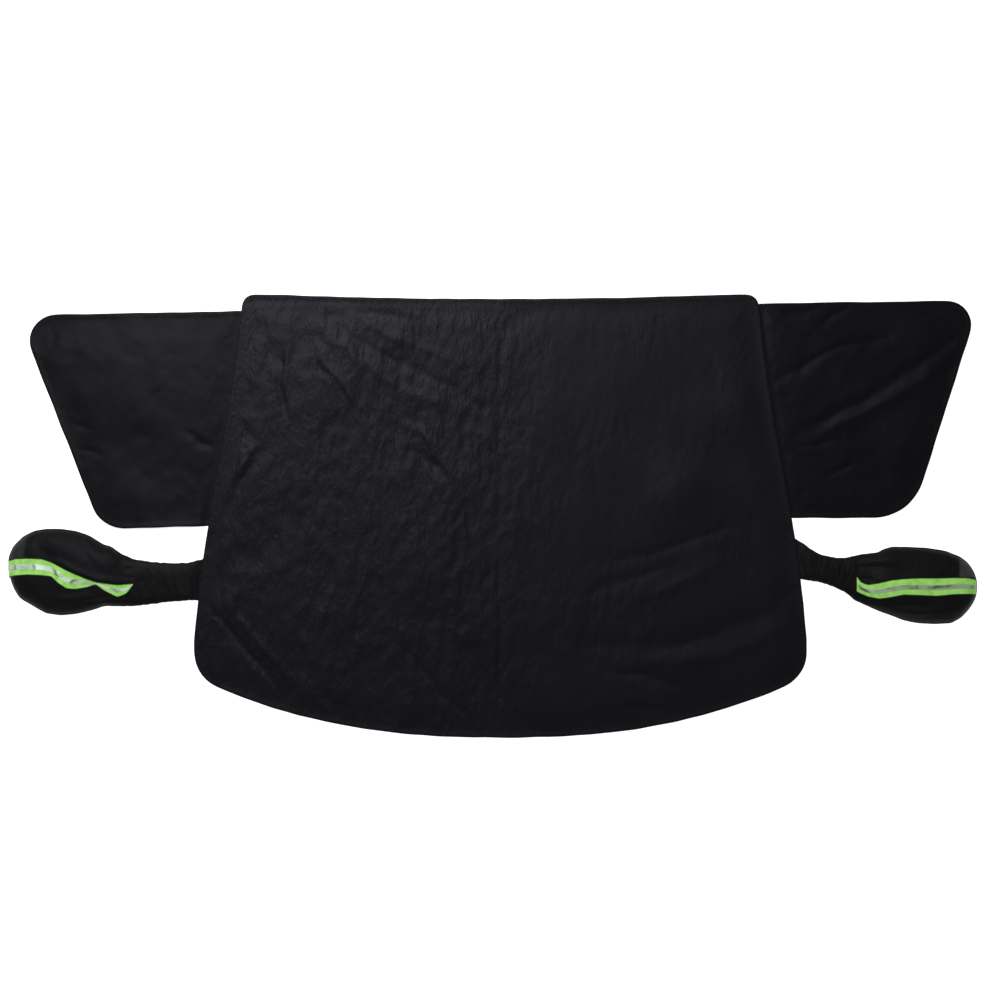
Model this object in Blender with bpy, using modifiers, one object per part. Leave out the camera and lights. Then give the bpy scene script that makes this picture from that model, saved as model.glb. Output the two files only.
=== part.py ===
"""A windshield frost cover, laid out flat with its outer face up.

One cloth panel covers the glass. A flap is sewn under each of its side edges,
to be shut in the car doors. A gathered neck on each side leads to a pouch that
slips over a door mirror. Every pouch has an oval mouth in its underside, an
elastic round that mouth, a bound rim and a bright tape with a reflective strip.

Units are metres and +Z is up. The origin is on the underside of the main panel,
at its middle. +Y points to the roof edge of the glass and +X to the right flap.
"""

import math
from collections import namedtuple

import bmesh
import bpy
from mathutils import Matrix, Vector

# Cloth and seams
CLEARANCE = 0.0003
CLOTH = 0.0015
HEM_WIDTH = 0.012
SEAM_TUCK = 0.009
HEM_HEIGHT = 2 * CLOTH + CLEARANCE

# Main panel
MAIN_HEIGHT = 1.064
MAIN_WIDTH = 1.471
MAIN_TOP_WIDTH = 1.236
MAIN_WIDEST_DROP = 0.830
MAIN_SIDE_SWING = 0.006
MAIN_TOP_DIP = 0.011
MAIN_TOP_RADIUS = 0.028
MAIN_LOW_RADIUS = 0.090
MAIN_BOTTOM_RISE = 0.146
MAIN_BOTTOM_POWER = 2.4
MAIN_TOP_Y = MAIN_HEIGHT / 2
MAIN_BOTTOM_Y = -MAIN_HEIGHT / 2

# Necks, each a flat cloth tube gathered along an elastic
NECK_HEIGHT = 0.0075
NECK_RIPPLE = 0.0008
NECK_RIPPLE_PITCH = 0.017
NECK_RISE_LENGTH = 0.020
NECK_ROWS = 27
NECK_COLUMNS = 8
NECK_ELASTIC_WIDTH = 0.025
NECK_ELASTIC_THICKNESS = 0.001
NECK_ELASTIC_START = 0.018
NECK_ELASTIC_END_GAP = 0.009

# Pouches
POUCH_CLOTH = 0.0012
POUCH_CROWN = 0.030
POUCH_SKIRT = 0.002
POUCH_BINDING_RADIUS = 0.0016
MOUTH_SHARE_LONG = 0.62
MOUTH_SHARE_WIDE = 0.60
MOUTH_ELASTIC_RADIUS = 0.0015
DOME_SEGMENTS = 36
DOME_RINGS = 16

# Bright tape over each pouch
TAPE_WIDTH = 0.041
TAPE_THICKNESS = 0.0008
STRIP_WIDTH = 0.014
STRIP_THICKNESS = 0.0005
TAPE_END_CROWN = 0.32
STRIP_END_MARGIN = 0.01
TAPE_CELL = 0.008

ARC_STEPS = 8

# What differs between the two sides. Drops are measured down from the main
# panel's top corners, reaches outwards from its side edge, tilts as the rise
# towards the outer end. neck_edges holds the neck's lower and upper edge, as
# (reach, lower, upper) from the neck's own middle height.
Side = namedtuple(
    "Side",
    "name sign wing_drop wing_depth wing_top_reach wing_low_reach wing_top_tilt wing_low_tilt "
    "wing_top_radius wing_low_radius neck_drop neck_edges pouch_reach pouch_rise "
    "pouch_length pouch_width pouch_taper pouch_tilt",
)

LEFT = Side(
    name="left",
    sign=-1,
    wing_drop=0.040,
    wing_depth=0.516,
    wing_top_reach=0.537,
    wing_low_reach=0.256,
    wing_top_tilt=-0.010,
    wing_low_tilt=-0.008,
    wing_top_radius=0.063,
    wing_low_radius=0.080,
    neck_drop=0.6845,
    neck_edges=(
        (0.000, -0.0495, 0.0495),
        (0.040, -0.0515, 0.0397),
        (0.100, -0.0575, 0.0410),
        (0.150, -0.0635, 0.0480),
        (0.190, -0.0635, 0.0660),
        (0.215, -0.0635, 0.0790),
    ),
    pouch_reach=0.155,
    pouch_rise=-0.0015,
    pouch_length=0.304,
    pouch_width=0.198,
    pouch_taper=0.30,
    pouch_tilt=math.radians(6.5),
)

RIGHT = Side(
    name="right",
    sign=1,
    wing_drop=0.022,
    wing_depth=0.515,
    wing_top_reach=0.5315,
    wing_low_reach=0.287,
    wing_top_tilt=0.008,
    wing_low_tilt=0.000,
    wing_top_radius=0.058,
    wing_low_radius=0.125,
    neck_drop=0.640,
    neck_edges=(
        (0.000, -0.0456, 0.0456),
        (0.033, -0.0480, 0.0264),
        (0.057, -0.0525, 0.0144),
        (0.093, -0.0655, 0.0072),
        (0.124, -0.0850, 0.0096),
        (0.156, -0.1040, 0.0168),
        (0.185, -0.1160, 0.0192),
    ),
    pouch_reach=0.132,
    pouch_rise=-0.042,
    pouch_length=0.296,
    pouch_width=0.187,
    pouch_taper=0.18,
    pouch_tilt=math.radians(-4.7),
)

BLACK_CLOTH = (0.020, 0.021, 0.026, 1.0)
BINDING_BLACK = (0.010, 0.010, 0.012, 1.0)
ELASTIC_BLACK = (0.030, 0.030, 0.032, 1.0)
HIGH_VIS_LIME = (0.30, 0.68, 0.12, 1.0)
REFLECTIVE_SILVER = (0.55, 0.60, 0.56, 1.0)

for old_object in list(bpy.data.objects):
    bpy.data.objects.remove(old_object, do_unlink=True)

PARTS = bpy.data.collections.new("windshield_frost_cover")
CUTTERS = bpy.data.collections.new("cutters")
bpy.context.scene.collection.children.link(PARTS)
bpy.context.scene.collection.children.link(CUTTERS)


def material(name, colour, roughness, metallic=0.0):
    """A Principled material with one colour, roughness and metallic value."""
    made = bpy.data.materials.new(name)
    made.use_nodes = True
    shader = made.node_tree.nodes["Principled BSDF"]
    shader.inputs["Base Color"].default_value = colour
    shader.inputs["Roughness"].default_value = roughness
    shader.inputs["Metallic"].default_value = metallic
    return made


def add_part(name, mesh, colour, roughness, metallic=0.0, smooth_angle=35):
    """One named piece of the cover, with its own material."""
    mesh.materials.clear()
    mesh.materials.append(material(name + "_finish", colour, roughness, metallic))
    mesh.shade_smooth()
    mesh.set_sharp_from_angle(angle=math.radians(smooth_angle))
    piece = bpy.data.objects.new(name, mesh)
    PARTS.objects.link(piece)
    return piece


def add_cutter(name, mesh):
    """A hidden solid that other pieces are cut with."""
    cutter = bpy.data.objects.new(name, mesh)
    cutter.hide_render = True
    cutter.display_type = "WIRE"
    CUTTERS.objects.link(cutter)
    return cutter


def cut(piece, cutter):
    """Take the cutter's volume out of the piece."""
    modifier = piece.modifiers.new("cut_by_" + cutter.name, "BOOLEAN")
    modifier.operation = "DIFFERENCE"
    modifier.solver = "EXACT"
    modifier.object = cutter


def mesh_from_curve(name, curve, height=0.0):
    """The curve's solid as a mesh, moved to its height, with its caps welded."""
    holder = bpy.data.objects.new(name, curve)
    holder.location.z = height
    bpy.context.scene.collection.objects.link(holder)
    depsgraph = bpy.context.evaluated_depsgraph_get()
    mesh = bpy.data.meshes.new_from_object(holder.evaluated_get(depsgraph))
    mesh.name = name
    welded = bmesh.new()
    welded.from_mesh(mesh)
    bmesh.ops.remove_doubles(welded, verts=welded.verts, dist=0.00001)
    bmesh.ops.transform(welded, matrix=holder.matrix_world, verts=welded.verts)
    welded.to_mesh(mesh)
    welded.free()
    bpy.data.objects.remove(holder, do_unlink=True)
    bpy.data.curves.remove(curve)
    return mesh


def slab(name, outlines, low, high):
    """A flat solid between two heights: the first outline, less any others inside it."""
    curve = bpy.data.curves.new(name, "CURVE")
    curve.dimensions = "2D"
    curve.fill_mode = "BOTH"
    curve.extrude = (high - low) / 2
    for outline in outlines:
        spline = curve.splines.new("POLY")
        spline.points.add(len(outline) - 1)
        for point, (x, y) in zip(spline.points, outline):
            point.co = (x, y, 0.0, 1.0)
        spline.use_cyclic_u = True
    return mesh_from_curve(name, curve, (low + high) / 2)


def ring(name, outline, height, radius):
    """A closed round cord along an outline, with its centre at one height."""
    curve = bpy.data.curves.new(name, "CURVE")
    curve.dimensions = "3D"
    curve.bevel_depth = radius
    curve.bevel_resolution = 2
    curve.render_resolution_u = 0
    spline = curve.splines.new("POLY")
    spline.points.add(len(outline) - 1)
    for point, (x, y) in zip(spline.points, outline):
        point.co = (x, y, 0.0, 1.0)
    spline.use_cyclic_u = True
    return mesh_from_curve(name, curve, height)


def ordered(outline):
    """The outline with its points running anticlockwise."""
    doubled_area = sum(
        x0 * y1 - x1 * y0
        for (x0, y0), (x1, y1) in zip(outline, outline[1:] + outline[:1])
    )
    return outline if doubled_area > 0 else outline[::-1]


def grown(outline, distance):
    """The outline moved outwards by a distance, or inwards by a negative one."""
    points = [Vector(point) for point in ordered(outline)]
    moved = []
    for index, point in enumerate(points):
        ahead = (points[(index + 1) % len(points)] - point).normalized()
        behind = (point - points[index - 1]).normalized()
        outward_ahead = Vector((ahead.y, -ahead.x))
        outward_behind = Vector((behind.y, -behind.x))
        middle = (outward_ahead + outward_behind).normalized()
        moved.append(point + middle * distance / middle.dot(outward_ahead))
    return [(point.x, point.y) for point in moved]


def rounded(corners):
    """An outline from (x, y, radius) corners, with an arc at each radius above zero."""
    outline = []
    for index, (x, y, radius) in enumerate(corners):
        corner = Vector((x, y))
        if radius == 0.0:
            outline.append((x, y))
            continue
        before = Vector(corners[index - 1][:2]) - corner
        after = Vector(corners[(index + 1) % len(corners)][:2]) - corner
        before.normalize()
        after.normalize()
        half_angle = before.angle(after) / 2
        centre = corner + (before + after).normalized() * radius / math.sin(half_angle)
        start = corner + before * radius / math.tan(half_angle) - centre
        end = corner + after * radius / math.tan(half_angle) - centre
        turn = start.angle_signed(end)
        for step in range(ARC_STEPS + 1):
            angle = -turn * step / ARC_STEPS
            spoke = Matrix.Rotation(angle, 2) @ start
            outline.append((centre.x + spoke.x, centre.y + spoke.y))
    return outline


def between(low, high, share):
    """The value a share of the way from low to high."""
    return low + (high - low) * share


def eased(value):
    """A smooth step from 0 to 1, flat at both ends."""
    value = min(1.0, max(0.0, value))
    return value * value * (3 - 2 * value)


def main_side_x(y):
    """Half the main panel's width at a height: a slanted side that swings in above and out below."""
    share = (MAIN_TOP_Y - y) / MAIN_WIDEST_DROP
    share = min(1.0, max(0.0, share))
    straight = between(MAIN_TOP_WIDTH / 2, MAIN_WIDTH / 2, share)
    return straight - MAIN_SIDE_SWING * math.sin(2 * math.pi * share)


def main_bottom_y(x):
    """Height of the main panel's curved bottom edge."""
    share = abs(x) / (MAIN_WIDTH / 2)
    return MAIN_BOTTOM_Y + MAIN_BOTTOM_RISE * share ** MAIN_BOTTOM_POWER


def main_outline():
    """The main panel seen from above, from its lower left round to its left side."""
    low_corner_x = MAIN_WIDTH / 2
    low_corner_y = main_bottom_y(low_corner_x)
    bottom_half = low_corner_x - MAIN_LOW_RADIUS
    side_low_y = low_corner_y + MAIN_LOW_RADIUS
    side_high_y = MAIN_TOP_Y - 2 * MAIN_TOP_RADIUS
    top_half = MAIN_TOP_WIDTH / 2 - 2 * MAIN_TOP_RADIUS
    bottom_steps = 24
    side_steps = 10
    top_steps = 8
    bottom = []
    for step in range(bottom_steps + 1):
        x = between(-bottom_half, bottom_half, step / bottom_steps)
        bottom.append((x, main_bottom_y(x), 0.0))
    side = []
    for step in range(side_steps + 1):
        y = between(side_low_y, side_high_y, step / side_steps)
        side.append((main_side_x(y), y, 0.0))
    top = []
    for step in range(top_steps + 1):
        share = 1 - 2 * step / top_steps
        top.append((top_half * share, MAIN_TOP_Y - MAIN_TOP_DIP * (1 - share * share), 0.0))
    left_side = [(-x, y, 0.0) for x, y, radius in reversed(side)]
    corners = bottom + [(low_corner_x, low_corner_y, MAIN_LOW_RADIUS)] + side
    corners += [(MAIN_TOP_WIDTH / 2, MAIN_TOP_Y, MAIN_TOP_RADIUS)] + top
    corners += [(-MAIN_TOP_WIDTH / 2, MAIN_TOP_Y, MAIN_TOP_RADIUS)] + left_side
    corners += [(-low_corner_x, low_corner_y, MAIN_LOW_RADIUS)]
    return rounded(corners)


def mirrored(outline, side):
    """The outline, drawn for the right, put on the given side."""
    return ordered([(side.sign * x, y) for x, y in outline])


def wing_outline(side, tuck):
    """A door flap from above, with its inner edge a tuck inside the main panel's edge."""
    top_y = MAIN_TOP_Y - side.wing_drop
    low_y = top_y - side.wing_depth
    inner_steps = 8
    inner = []
    for step in range(inner_steps + 1):
        y = between(top_y, low_y, step / inner_steps)
        inner.append((main_side_x(y) - tuck, y, 0.0))
    low_corner = (
        main_side_x(low_y) + side.wing_low_reach,
        low_y + side.wing_low_tilt,
        side.wing_low_radius,
    )
    top_corner = (
        main_side_x(top_y) + side.wing_top_reach,
        top_y + side.wing_top_tilt,
        side.wing_top_radius,
    )
    return mirrored(rounded(inner + [low_corner, top_corner]), side)


def neck_edge(side, reach):
    """Heights of the neck's lower and upper edge at a distance from the main panel."""
    centre_y = MAIN_TOP_Y - side.neck_drop
    stations = side.neck_edges
    reach = min(stations[-1][0], max(stations[0][0], reach))
    for near, far in zip(stations, stations[1:]):
        if reach <= far[0]:
            share = (reach - near[0]) / (far[0] - near[0])
            return (
                centre_y + between(near[1], far[1], share),
                centre_y + between(near[2], far[2], share),
            )


def neck_root_outline(side):
    """The part of a neck that lies under the main panel's edge, and a little beyond it."""
    low_y, high_y = neck_edge(side, 0.0)
    steps = 4
    beyond = 0.01
    inner = []
    outer = []
    for step in range(steps + 1):
        y = between(low_y, high_y, step / steps)
        inner.append((main_side_x(y) - SEAM_TUCK, y))
        outer.append((main_side_x(y) + beyond, y))
    return mirrored(inner + outer[::-1], side)


def pouch_tip(side):
    """The inner tip of a pouch, where the neck joins it, drawn for the right."""
    neck_y = MAIN_TOP_Y - side.neck_drop
    return Vector((main_side_x(neck_y) + side.pouch_reach, neck_y + side.pouch_rise))


def pouch_place(side, along, across):
    """World x and y of a point given along and across a pouch, from its middle."""
    direction = Vector((math.cos(side.pouch_tilt), math.sin(side.pouch_tilt)))
    sideways = Vector((-direction.y, direction.x))
    middle = pouch_tip(side) + direction * side.pouch_length / 2
    place = middle + direction * along + sideways * across
    return side.sign * place.x, place.y


def pouch_oval(side, long_share=1.0, wide_share=1.0):
    """The egg-shaped outline of a pouch, or of its mouth at a share of its size."""
    outline = []
    for step in range(DOME_SEGMENTS):
        angle = 2 * math.pi * step / DOME_SEGMENTS
        along = side.pouch_length / 2 * math.cos(angle)
        swell = 1 + side.pouch_taper * math.cos(angle)
        across = side.pouch_width / 2 * math.sin(angle) * swell
        outline.append(pouch_place(side, along * long_share, across * wide_share))
    return ordered(outline)


def crown_share(side, along, across):
    """How high a pouch's outer face is at a point along and across it: 1 at its top, 0 at its rim."""
    length_share = along / (side.pouch_length / 2)
    swell = 1 + side.pouch_taper * length_share
    width_share = across / (side.pouch_width / 2 * swell)
    return math.sqrt(max(0.0, 1 - length_share ** 2 - width_share ** 2))


def crown_height(side, along, across):
    """Height of a pouch's outer face above a point given along and across it."""
    base = POUCH_CLOTH + CLEARANCE + POUCH_SKIRT
    return base + POUCH_CROWN * crown_share(side, along, across)


def tape_end(side, direction):
    """How far along a pouch the bright tape goes before the outer face turns down at its corners."""
    step = direction * TAPE_CELL / 10
    along = 0.0
    while crown_share(side, along + step, TAPE_WIDTH / 2) > TAPE_END_CROWN:
        along += step
    return along


def make_main_panel():
    """The main panel: single cloth, a double hem, and rebates for what is sewn under it."""
    outline = main_outline()
    panel = add_part("main_panel", slab("main_panel", [outline], 0.0, HEM_HEIGHT), BLACK_CLOTH, 0.6)
    field = slab("main_field_cut", [grown(outline, -HEM_WIDTH)], CLOTH, 2 * HEM_HEIGHT)
    cut(panel, add_cutter("main_field_cut", field))
    for side in (LEFT, RIGHT):
        for sewn, sewn_outline in (
            ("wing", wing_outline(side, SEAM_TUCK)),
            ("neck", neck_root_outline(side)),
        ):
            name = side.name + "_" + sewn + "_rebate"
            rebate = slab(name, [grown(sewn_outline, CLEARANCE)], -CLOTH, CLOTH + CLEARANCE)
            cut(panel, add_cutter(name, rebate))


def make_wing(side):
    """A door flap: single cloth with a double hem on its three free edges."""
    outline = wing_outline(side, SEAM_TUCK)
    name = side.name + "_wing"
    wing = add_part(name, slab(name, [outline], 0.0, HEM_HEIGHT), BLACK_CLOTH, 0.6)
    past_seam = wing_outline(side, 2 * SEAM_TUCK + HEM_WIDTH)
    field = slab(name + "_field_cut", [grown(past_seam, -HEM_WIDTH)], CLOTH, 2 * HEM_HEIGHT)
    cut(wing, add_cutter(name + "_field_cut", field))
    under_main = slab(
        name + "_seam_cut", [grown(main_outline(), CLEARANCE)], CLOTH, 2 * HEM_HEIGHT
    )
    cut(wing, add_cutter(name + "_seam_cut", under_main))


def neck_point(side, row, column):
    """A point of a neck's top, from its row along the neck and its column across it."""
    first_free = CLEARANCE + CLEARANCE / 2
    longest = side.neck_edges[-1][0]
    if row == 0:
        reach = -SEAM_TUCK
    else:
        reach = between(first_free, longest, (row - 1) / (NECK_ROWS - 1))
    across = column / NECK_COLUMNS
    low_y, high_y = neck_edge(side, reach)
    y = between(low_y, high_y, across)
    middle_y = MAIN_TOP_Y - side.neck_drop
    straighten = eased(reach / side.pouch_reach)
    x = reach + between(main_side_x(y), main_side_x(middle_y), straighten)
    crown = math.sqrt(max(0.0, 1 - abs(2 * across - 1) ** 4))
    free_length = max(0.0, reach - first_free)
    rise = eased(free_length / NECK_RISE_LENGTH)
    ripple = NECK_RIPPLE * math.sin(2 * math.pi * free_length / NECK_RIPPLE_PITCH)
    height = CLOTH + (NECK_HEIGHT - CLOTH + ripple) * crown * rise
    return side.sign * x, y, height


def make_neck(side):
    """A gathered neck: a low rippled body, flat where it lies under the main panel."""
    name = side.name + "_neck"
    body = bmesh.new()
    bmesh.ops.create_grid(body, x_segments=NECK_ROWS, y_segments=NECK_COLUMNS, size=0.5)
    for vertex in body.verts:
        row = round((vertex.co.x + 0.5) * NECK_ROWS)
        column = round((vertex.co.y + 0.5) * NECK_COLUMNS)
        vertex.co = neck_point(side, row, column)
    top_vertices = list(body.verts)
    bmesh.ops.extrude_face_region(body, geom=list(body.faces))
    for vertex in top_vertices:
        vertex.co.z = 0.0
    bmesh.ops.recalc_face_normals(body, faces=body.faces)
    mesh = bpy.data.meshes.new(name)
    body.to_mesh(mesh)
    body.free()
    neck = add_part(name, mesh, BLACK_CLOTH, 0.7)
    round_pouch = 2 * POUCH_BINDING_RADIUS + 2 * CLEARANCE
    end = slab(name + "_end_cut", [grown(pouch_oval(side), round_pouch)], -CLOTH, 2 * NECK_HEIGHT)
    cut(neck, add_cutter(name + "_end_cut", end))
    channel = elastic_box(side, name + "_channel_cut", CLEARANCE, through_end=True)
    cut(neck, add_cutter(name + "_channel_cut", channel))


def elastic_box(side, name, margin, through_end):
    """The flat elastic inside a neck, grown by a margin for the channel that holds it."""
    start_x = main_side_x(MAIN_TOP_Y - side.neck_drop) + NECK_ELASTIC_START
    start_y = sum(neck_edge(side, NECK_ELASTIC_START)) / 2
    start = Vector((start_x, start_y))
    run = pouch_tip(side) - start
    spare = NECK_HEIGHT if through_end else -NECK_ELASTIC_END_GAP
    direction = run.normalized()
    first = start - direction * margin
    last = start + direction * (run.length + spare)
    middle = (first + last) / 2
    low = CLOTH + CLEARANCE
    box = bmesh.new()
    bmesh.ops.create_cube(box, size=1.0)
    length = (last - first).length
    width = NECK_ELASTIC_WIDTH + 2 * margin
    thickness = NECK_ELASTIC_THICKNESS + 2 * margin
    bmesh.ops.scale(box, vec=(length, width, thickness), verts=box.verts)
    turn = math.atan2(direction.y, side.sign * direction.x)
    place = Matrix.Translation((side.sign * middle.x, middle.y, low + NECK_ELASTIC_THICKNESS / 2))
    bmesh.ops.transform(box, matrix=place @ Matrix.Rotation(turn, 4, "Z"), verts=box.verts)
    mesh = bpy.data.meshes.new(name)
    box.to_mesh(mesh)
    box.free()
    return mesh


def make_neck_elastic(side):
    """The flat elastic that gathers a neck."""
    name = side.name + "_neck_elastic"
    add_part(name, elastic_box(side, name, 0.0, through_end=False), ELASTIC_BLACK, 0.8)


def make_pouch_front(side):
    """A pouch's crowned outer cloth, from a half sphere stretched to the pouch's outline."""
    name = side.name + "_pouch_front"
    dome = bmesh.new()
    bmesh.ops.create_uvsphere(dome, u_segments=DOME_SEGMENTS, v_segments=DOME_RINGS, radius=1.0)
    below = [vertex for vertex in dome.verts if vertex.co.z < -0.001]
    bmesh.ops.delete(dome, geom=below, context="VERTS")
    rim_height = POUCH_CLOTH + CLEARANCE
    for vertex in dome.verts:
        swell = 1 + side.pouch_taper * vertex.co.x
        x, y = pouch_place(
            side,
            side.pouch_length / 2 * vertex.co.x,
            side.pouch_width / 2 * vertex.co.y * swell,
        )
        vertex.co = (x, y, rim_height + POUCH_SKIRT + POUCH_CROWN * vertex.co.z)
    rim = [edge for edge in dome.edges if edge.is_boundary]
    skirt = bmesh.ops.extrude_edge_only(dome, edges=rim)["geom"]
    for element in skirt:
        if isinstance(element, bmesh.types.BMVert):
            element.co.z = rim_height
    bmesh.ops.recalc_face_normals(dome, faces=dome.faces)
    if max(dome.faces, key=lambda face: face.calc_center_median().z).normal.z < 0:
        bmesh.ops.reverse_faces(dome, faces=dome.faces)
    mesh = bpy.data.meshes.new(name)
    dome.to_mesh(mesh)
    dome.free()
    front = add_part(name, mesh, BLACK_CLOTH, 0.6)
    shell = front.modifiers.new("cloth", "SOLIDIFY")
    shell.thickness = POUCH_CLOTH
    shell.offset = -1.0


def make_pouch_back(side):
    """A pouch's flat inner cloth, with the oval mouth that a mirror goes in by."""
    name = side.name + "_pouch_back"
    outlines = [pouch_oval(side), pouch_oval(side, MOUTH_SHARE_LONG, MOUTH_SHARE_WIDE)]
    add_part(name, slab(name, outlines, 0.0, POUCH_CLOTH), BLACK_CLOTH, 0.6)


def make_pouch_binding(side):
    """The bound seam round a pouch's rim."""
    name = side.name + "_pouch_binding"
    route = grown(pouch_oval(side), CLEARANCE + POUCH_BINDING_RADIUS)
    bead = ring(name, route, POUCH_BINDING_RADIUS, POUCH_BINDING_RADIUS)
    add_part(name, bead, BINDING_BLACK, 0.7, smooth_angle=60)


def make_mouth_elastic(side):
    """The elastic round a pouch's mouth."""
    name = side.name + "_mouth_elastic"
    mouth = pouch_oval(side, MOUTH_SHARE_LONG, MOUTH_SHARE_WIDE)
    route = grown(mouth, -CLEARANCE - MOUTH_ELASTIC_RADIUS)
    cord = ring(name, route, MOUTH_ELASTIC_RADIUS, MOUTH_ELASTIC_RADIUS)
    add_part(name, cord, ELASTIC_BLACK, 0.8, smooth_angle=60)


def tape_surface(side, name, width, lift, end_margin):
    """An open strip that follows a pouch's outer face at a lift above it."""
    inner = tape_end(side, -1) + end_margin
    outer = tape_end(side, 1) - end_margin
    columns = max(2, round(width / TAPE_CELL))
    rows = round((outer - inner) / TAPE_CELL)
    probe = 0.0002
    strip = bmesh.new()
    bmesh.ops.create_grid(strip, x_segments=rows, y_segments=columns, size=0.5)
    for vertex in strip.verts:
        along = between(inner, outer, vertex.co.x + 0.5)
        across = width * vertex.co.y
        height = crown_height(side, along, across)
        slope_along = (crown_height(side, along + probe, across) - height) / probe
        slope_across = (crown_height(side, along, across + probe) - height) / probe
        normal = Vector((-slope_along, -slope_across, 1.0)).normalized()
        x, y = pouch_place(side, along + normal.x * lift, across + normal.y * lift)
        vertex.co = (x, y, height + normal.z * lift)
    if side.sign < 0:
        bmesh.ops.reverse_faces(strip, faces=strip.faces)
    mesh = bpy.data.meshes.new(name)
    strip.to_mesh(mesh)
    strip.free()
    return mesh


def make_tape(side):
    """The bright tape over a pouch, and the reflective strip down its middle."""
    band_name = side.name + "_tape_band"
    band_mesh = tape_surface(side, band_name, TAPE_WIDTH, CLEARANCE, 0.0)
    band = add_part(band_name, band_mesh, HIGH_VIS_LIME, 0.45)
    band_lift = CLEARANCE + TAPE_THICKNESS + CLEARANCE
    strip_name = side.name + "_tape_strip"
    strip_mesh = tape_surface(side, strip_name, STRIP_WIDTH, band_lift, STRIP_END_MARGIN)
    strip = add_part(strip_name, strip_mesh, REFLECTIVE_SILVER, 0.35, metallic=0.3)
    for piece, thickness in ((band, TAPE_THICKNESS), (strip, STRIP_THICKNESS)):
        shell = piece.modifiers.new("thickness", "SOLIDIFY")
        shell.thickness = thickness
        shell.offset = 1.0


make_main_panel()
for each_side in (LEFT, RIGHT):
    make_wing(each_side)
    make_neck(each_side)
    make_neck_elastic(each_side)
    make_pouch_front(each_side)
    make_pouch_back(each_side)
    make_pouch_binding(each_side)
    make_mouth_elastic(each_side)
    make_tape(each_side)
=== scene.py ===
"""A windshield frost cover laid flat on a white floor: crumpled black cloth, gathered necks, mirror pouches.

Metres, +Z up, +Y towards the top of the photograph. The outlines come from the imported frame.
"""

import math
from collections import namedtuple

import bpy
import numpy as np
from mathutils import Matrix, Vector
from mathutils.bvhtree import BVHTree
from mathutils.geometry import delaunay_2d_cdt
from mathutils.kdtree import KDTree


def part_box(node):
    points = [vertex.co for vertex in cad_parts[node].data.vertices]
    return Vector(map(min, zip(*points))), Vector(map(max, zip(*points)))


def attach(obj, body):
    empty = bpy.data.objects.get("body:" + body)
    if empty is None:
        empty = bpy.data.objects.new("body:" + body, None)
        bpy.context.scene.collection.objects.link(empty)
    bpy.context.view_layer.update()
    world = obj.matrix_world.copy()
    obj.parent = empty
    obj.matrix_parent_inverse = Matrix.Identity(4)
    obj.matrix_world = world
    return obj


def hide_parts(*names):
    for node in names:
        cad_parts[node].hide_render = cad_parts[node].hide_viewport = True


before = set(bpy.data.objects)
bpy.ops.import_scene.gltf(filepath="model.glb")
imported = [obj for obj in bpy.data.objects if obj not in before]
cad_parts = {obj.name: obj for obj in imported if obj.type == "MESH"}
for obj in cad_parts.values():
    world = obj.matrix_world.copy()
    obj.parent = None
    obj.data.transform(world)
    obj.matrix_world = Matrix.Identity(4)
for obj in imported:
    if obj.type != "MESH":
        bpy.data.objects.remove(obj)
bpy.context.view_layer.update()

# Cloth
CLOTH = 0.0010
HEM_WIDTH = 0.0105
HEM_EXTRA = 0.0007
HEM_STEP = 0.0015
GROOVE_DEPTH = 0.00025
GROOVE_WIDTH = 0.0012
EDGE_ROUND = 0.0012
PUCKER_HEIGHT = 0.00035
PUCKER_PLACE = 0.006
PUCKER_WIDTH = 0.007
STITCH_DEPTH = 0.0080
FLOOR_GAP = 0.0002
SEAM_LIFT = 0.0014
SEAM_ENDS = 0.025
SEAM_END_FADE = 0.020
SEAM_DEPTH = 0.013
SEAM_FADE = 0.035
EDGE_RISE = 0.100
CREASE_FADE = 0.022
EDGE_WAVE = 0.0016
EDGE_WAVE_DEPTH = 0.050
EDGE_WAVER = 0.0011
EDGE_WAVE_LENGTH = 0.13
PANEL_LIFT = 0.0034
WING_LIFT = 0.0028
MAIN_WARP = 0.007
WING_WARP = 0.006
EDGE_DEPTHS = (0.0004, 0.0012, 0.0035, 0.0064, 0.0080, 0.0096, 0.0125)

# How strongly each kind of crease shows
SWELL = 0.0012
MAIN_FOLD_SHARE = 0.72
MAIN_BROAD_SHARE = 0.40
MAIN_UPRIGHT_SHARE = 0.62
MAIN_CRISS_SHARE = 0.30
WING_FOLD_SHARE = 0.8
WING_BROAD_SHARE = 0.5
WING_CRISS_SHARE = 0.7
WING_FACET_SHARE = 0.65

# Mesh spacing
OUTLINE_STEP = 0.0055
MAIN_CELL = 0.0062
WING_CELL = 0.0058
TRACE_STEP = 0.0010
SHARP_ANGLE = math.radians(70)

# Stitches
STITCH_PITCH = 0.0042
STITCH_LENGTH = 0.0031
STITCH_RADIUS = 0.00036
STITCH_SIDES = 6

# Pouches and necks
POUCH_CLOTH = 0.0008
POUCH_CROWN = 0.0190
POUCH_RIM = 0.0022
POUCH_RISE = 0.110
POUCH_RISE_START = 0.015
CROWN_POWER = 2.8
CROWN_ROUND = 0.62
END_POWER = 2.5
END_ROUND = 0.6
SLACK = 0.14
BODY_SIDE = 0.25
BODY_END = 0.2
POUCH_END = 0.085
POUCH_ROWS = 112
POUCH_COLUMNS = 64
RIM_POINTS = 200
SEAM_LAP = 0.006
LAP_LIFT = 0.00015
NECK_DIP = 0.0009
BACK_START = 0.0025
BACK_RINGS = 16
BACK_GATHER = 0.0017
BACK_GATHERS = 62
BACK_CRINKLE = 0.0006
BACK_STEP = 0.0042
BINDING_RADIUS = 0.0014
BINDING_SIDES = 10
RIM_INSET = 0.0020
RIM_START = 0.001
RIM_FADE = 0.008
BINDING_SINK = 0.0005
BINDING_STEP = 0.0022
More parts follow.
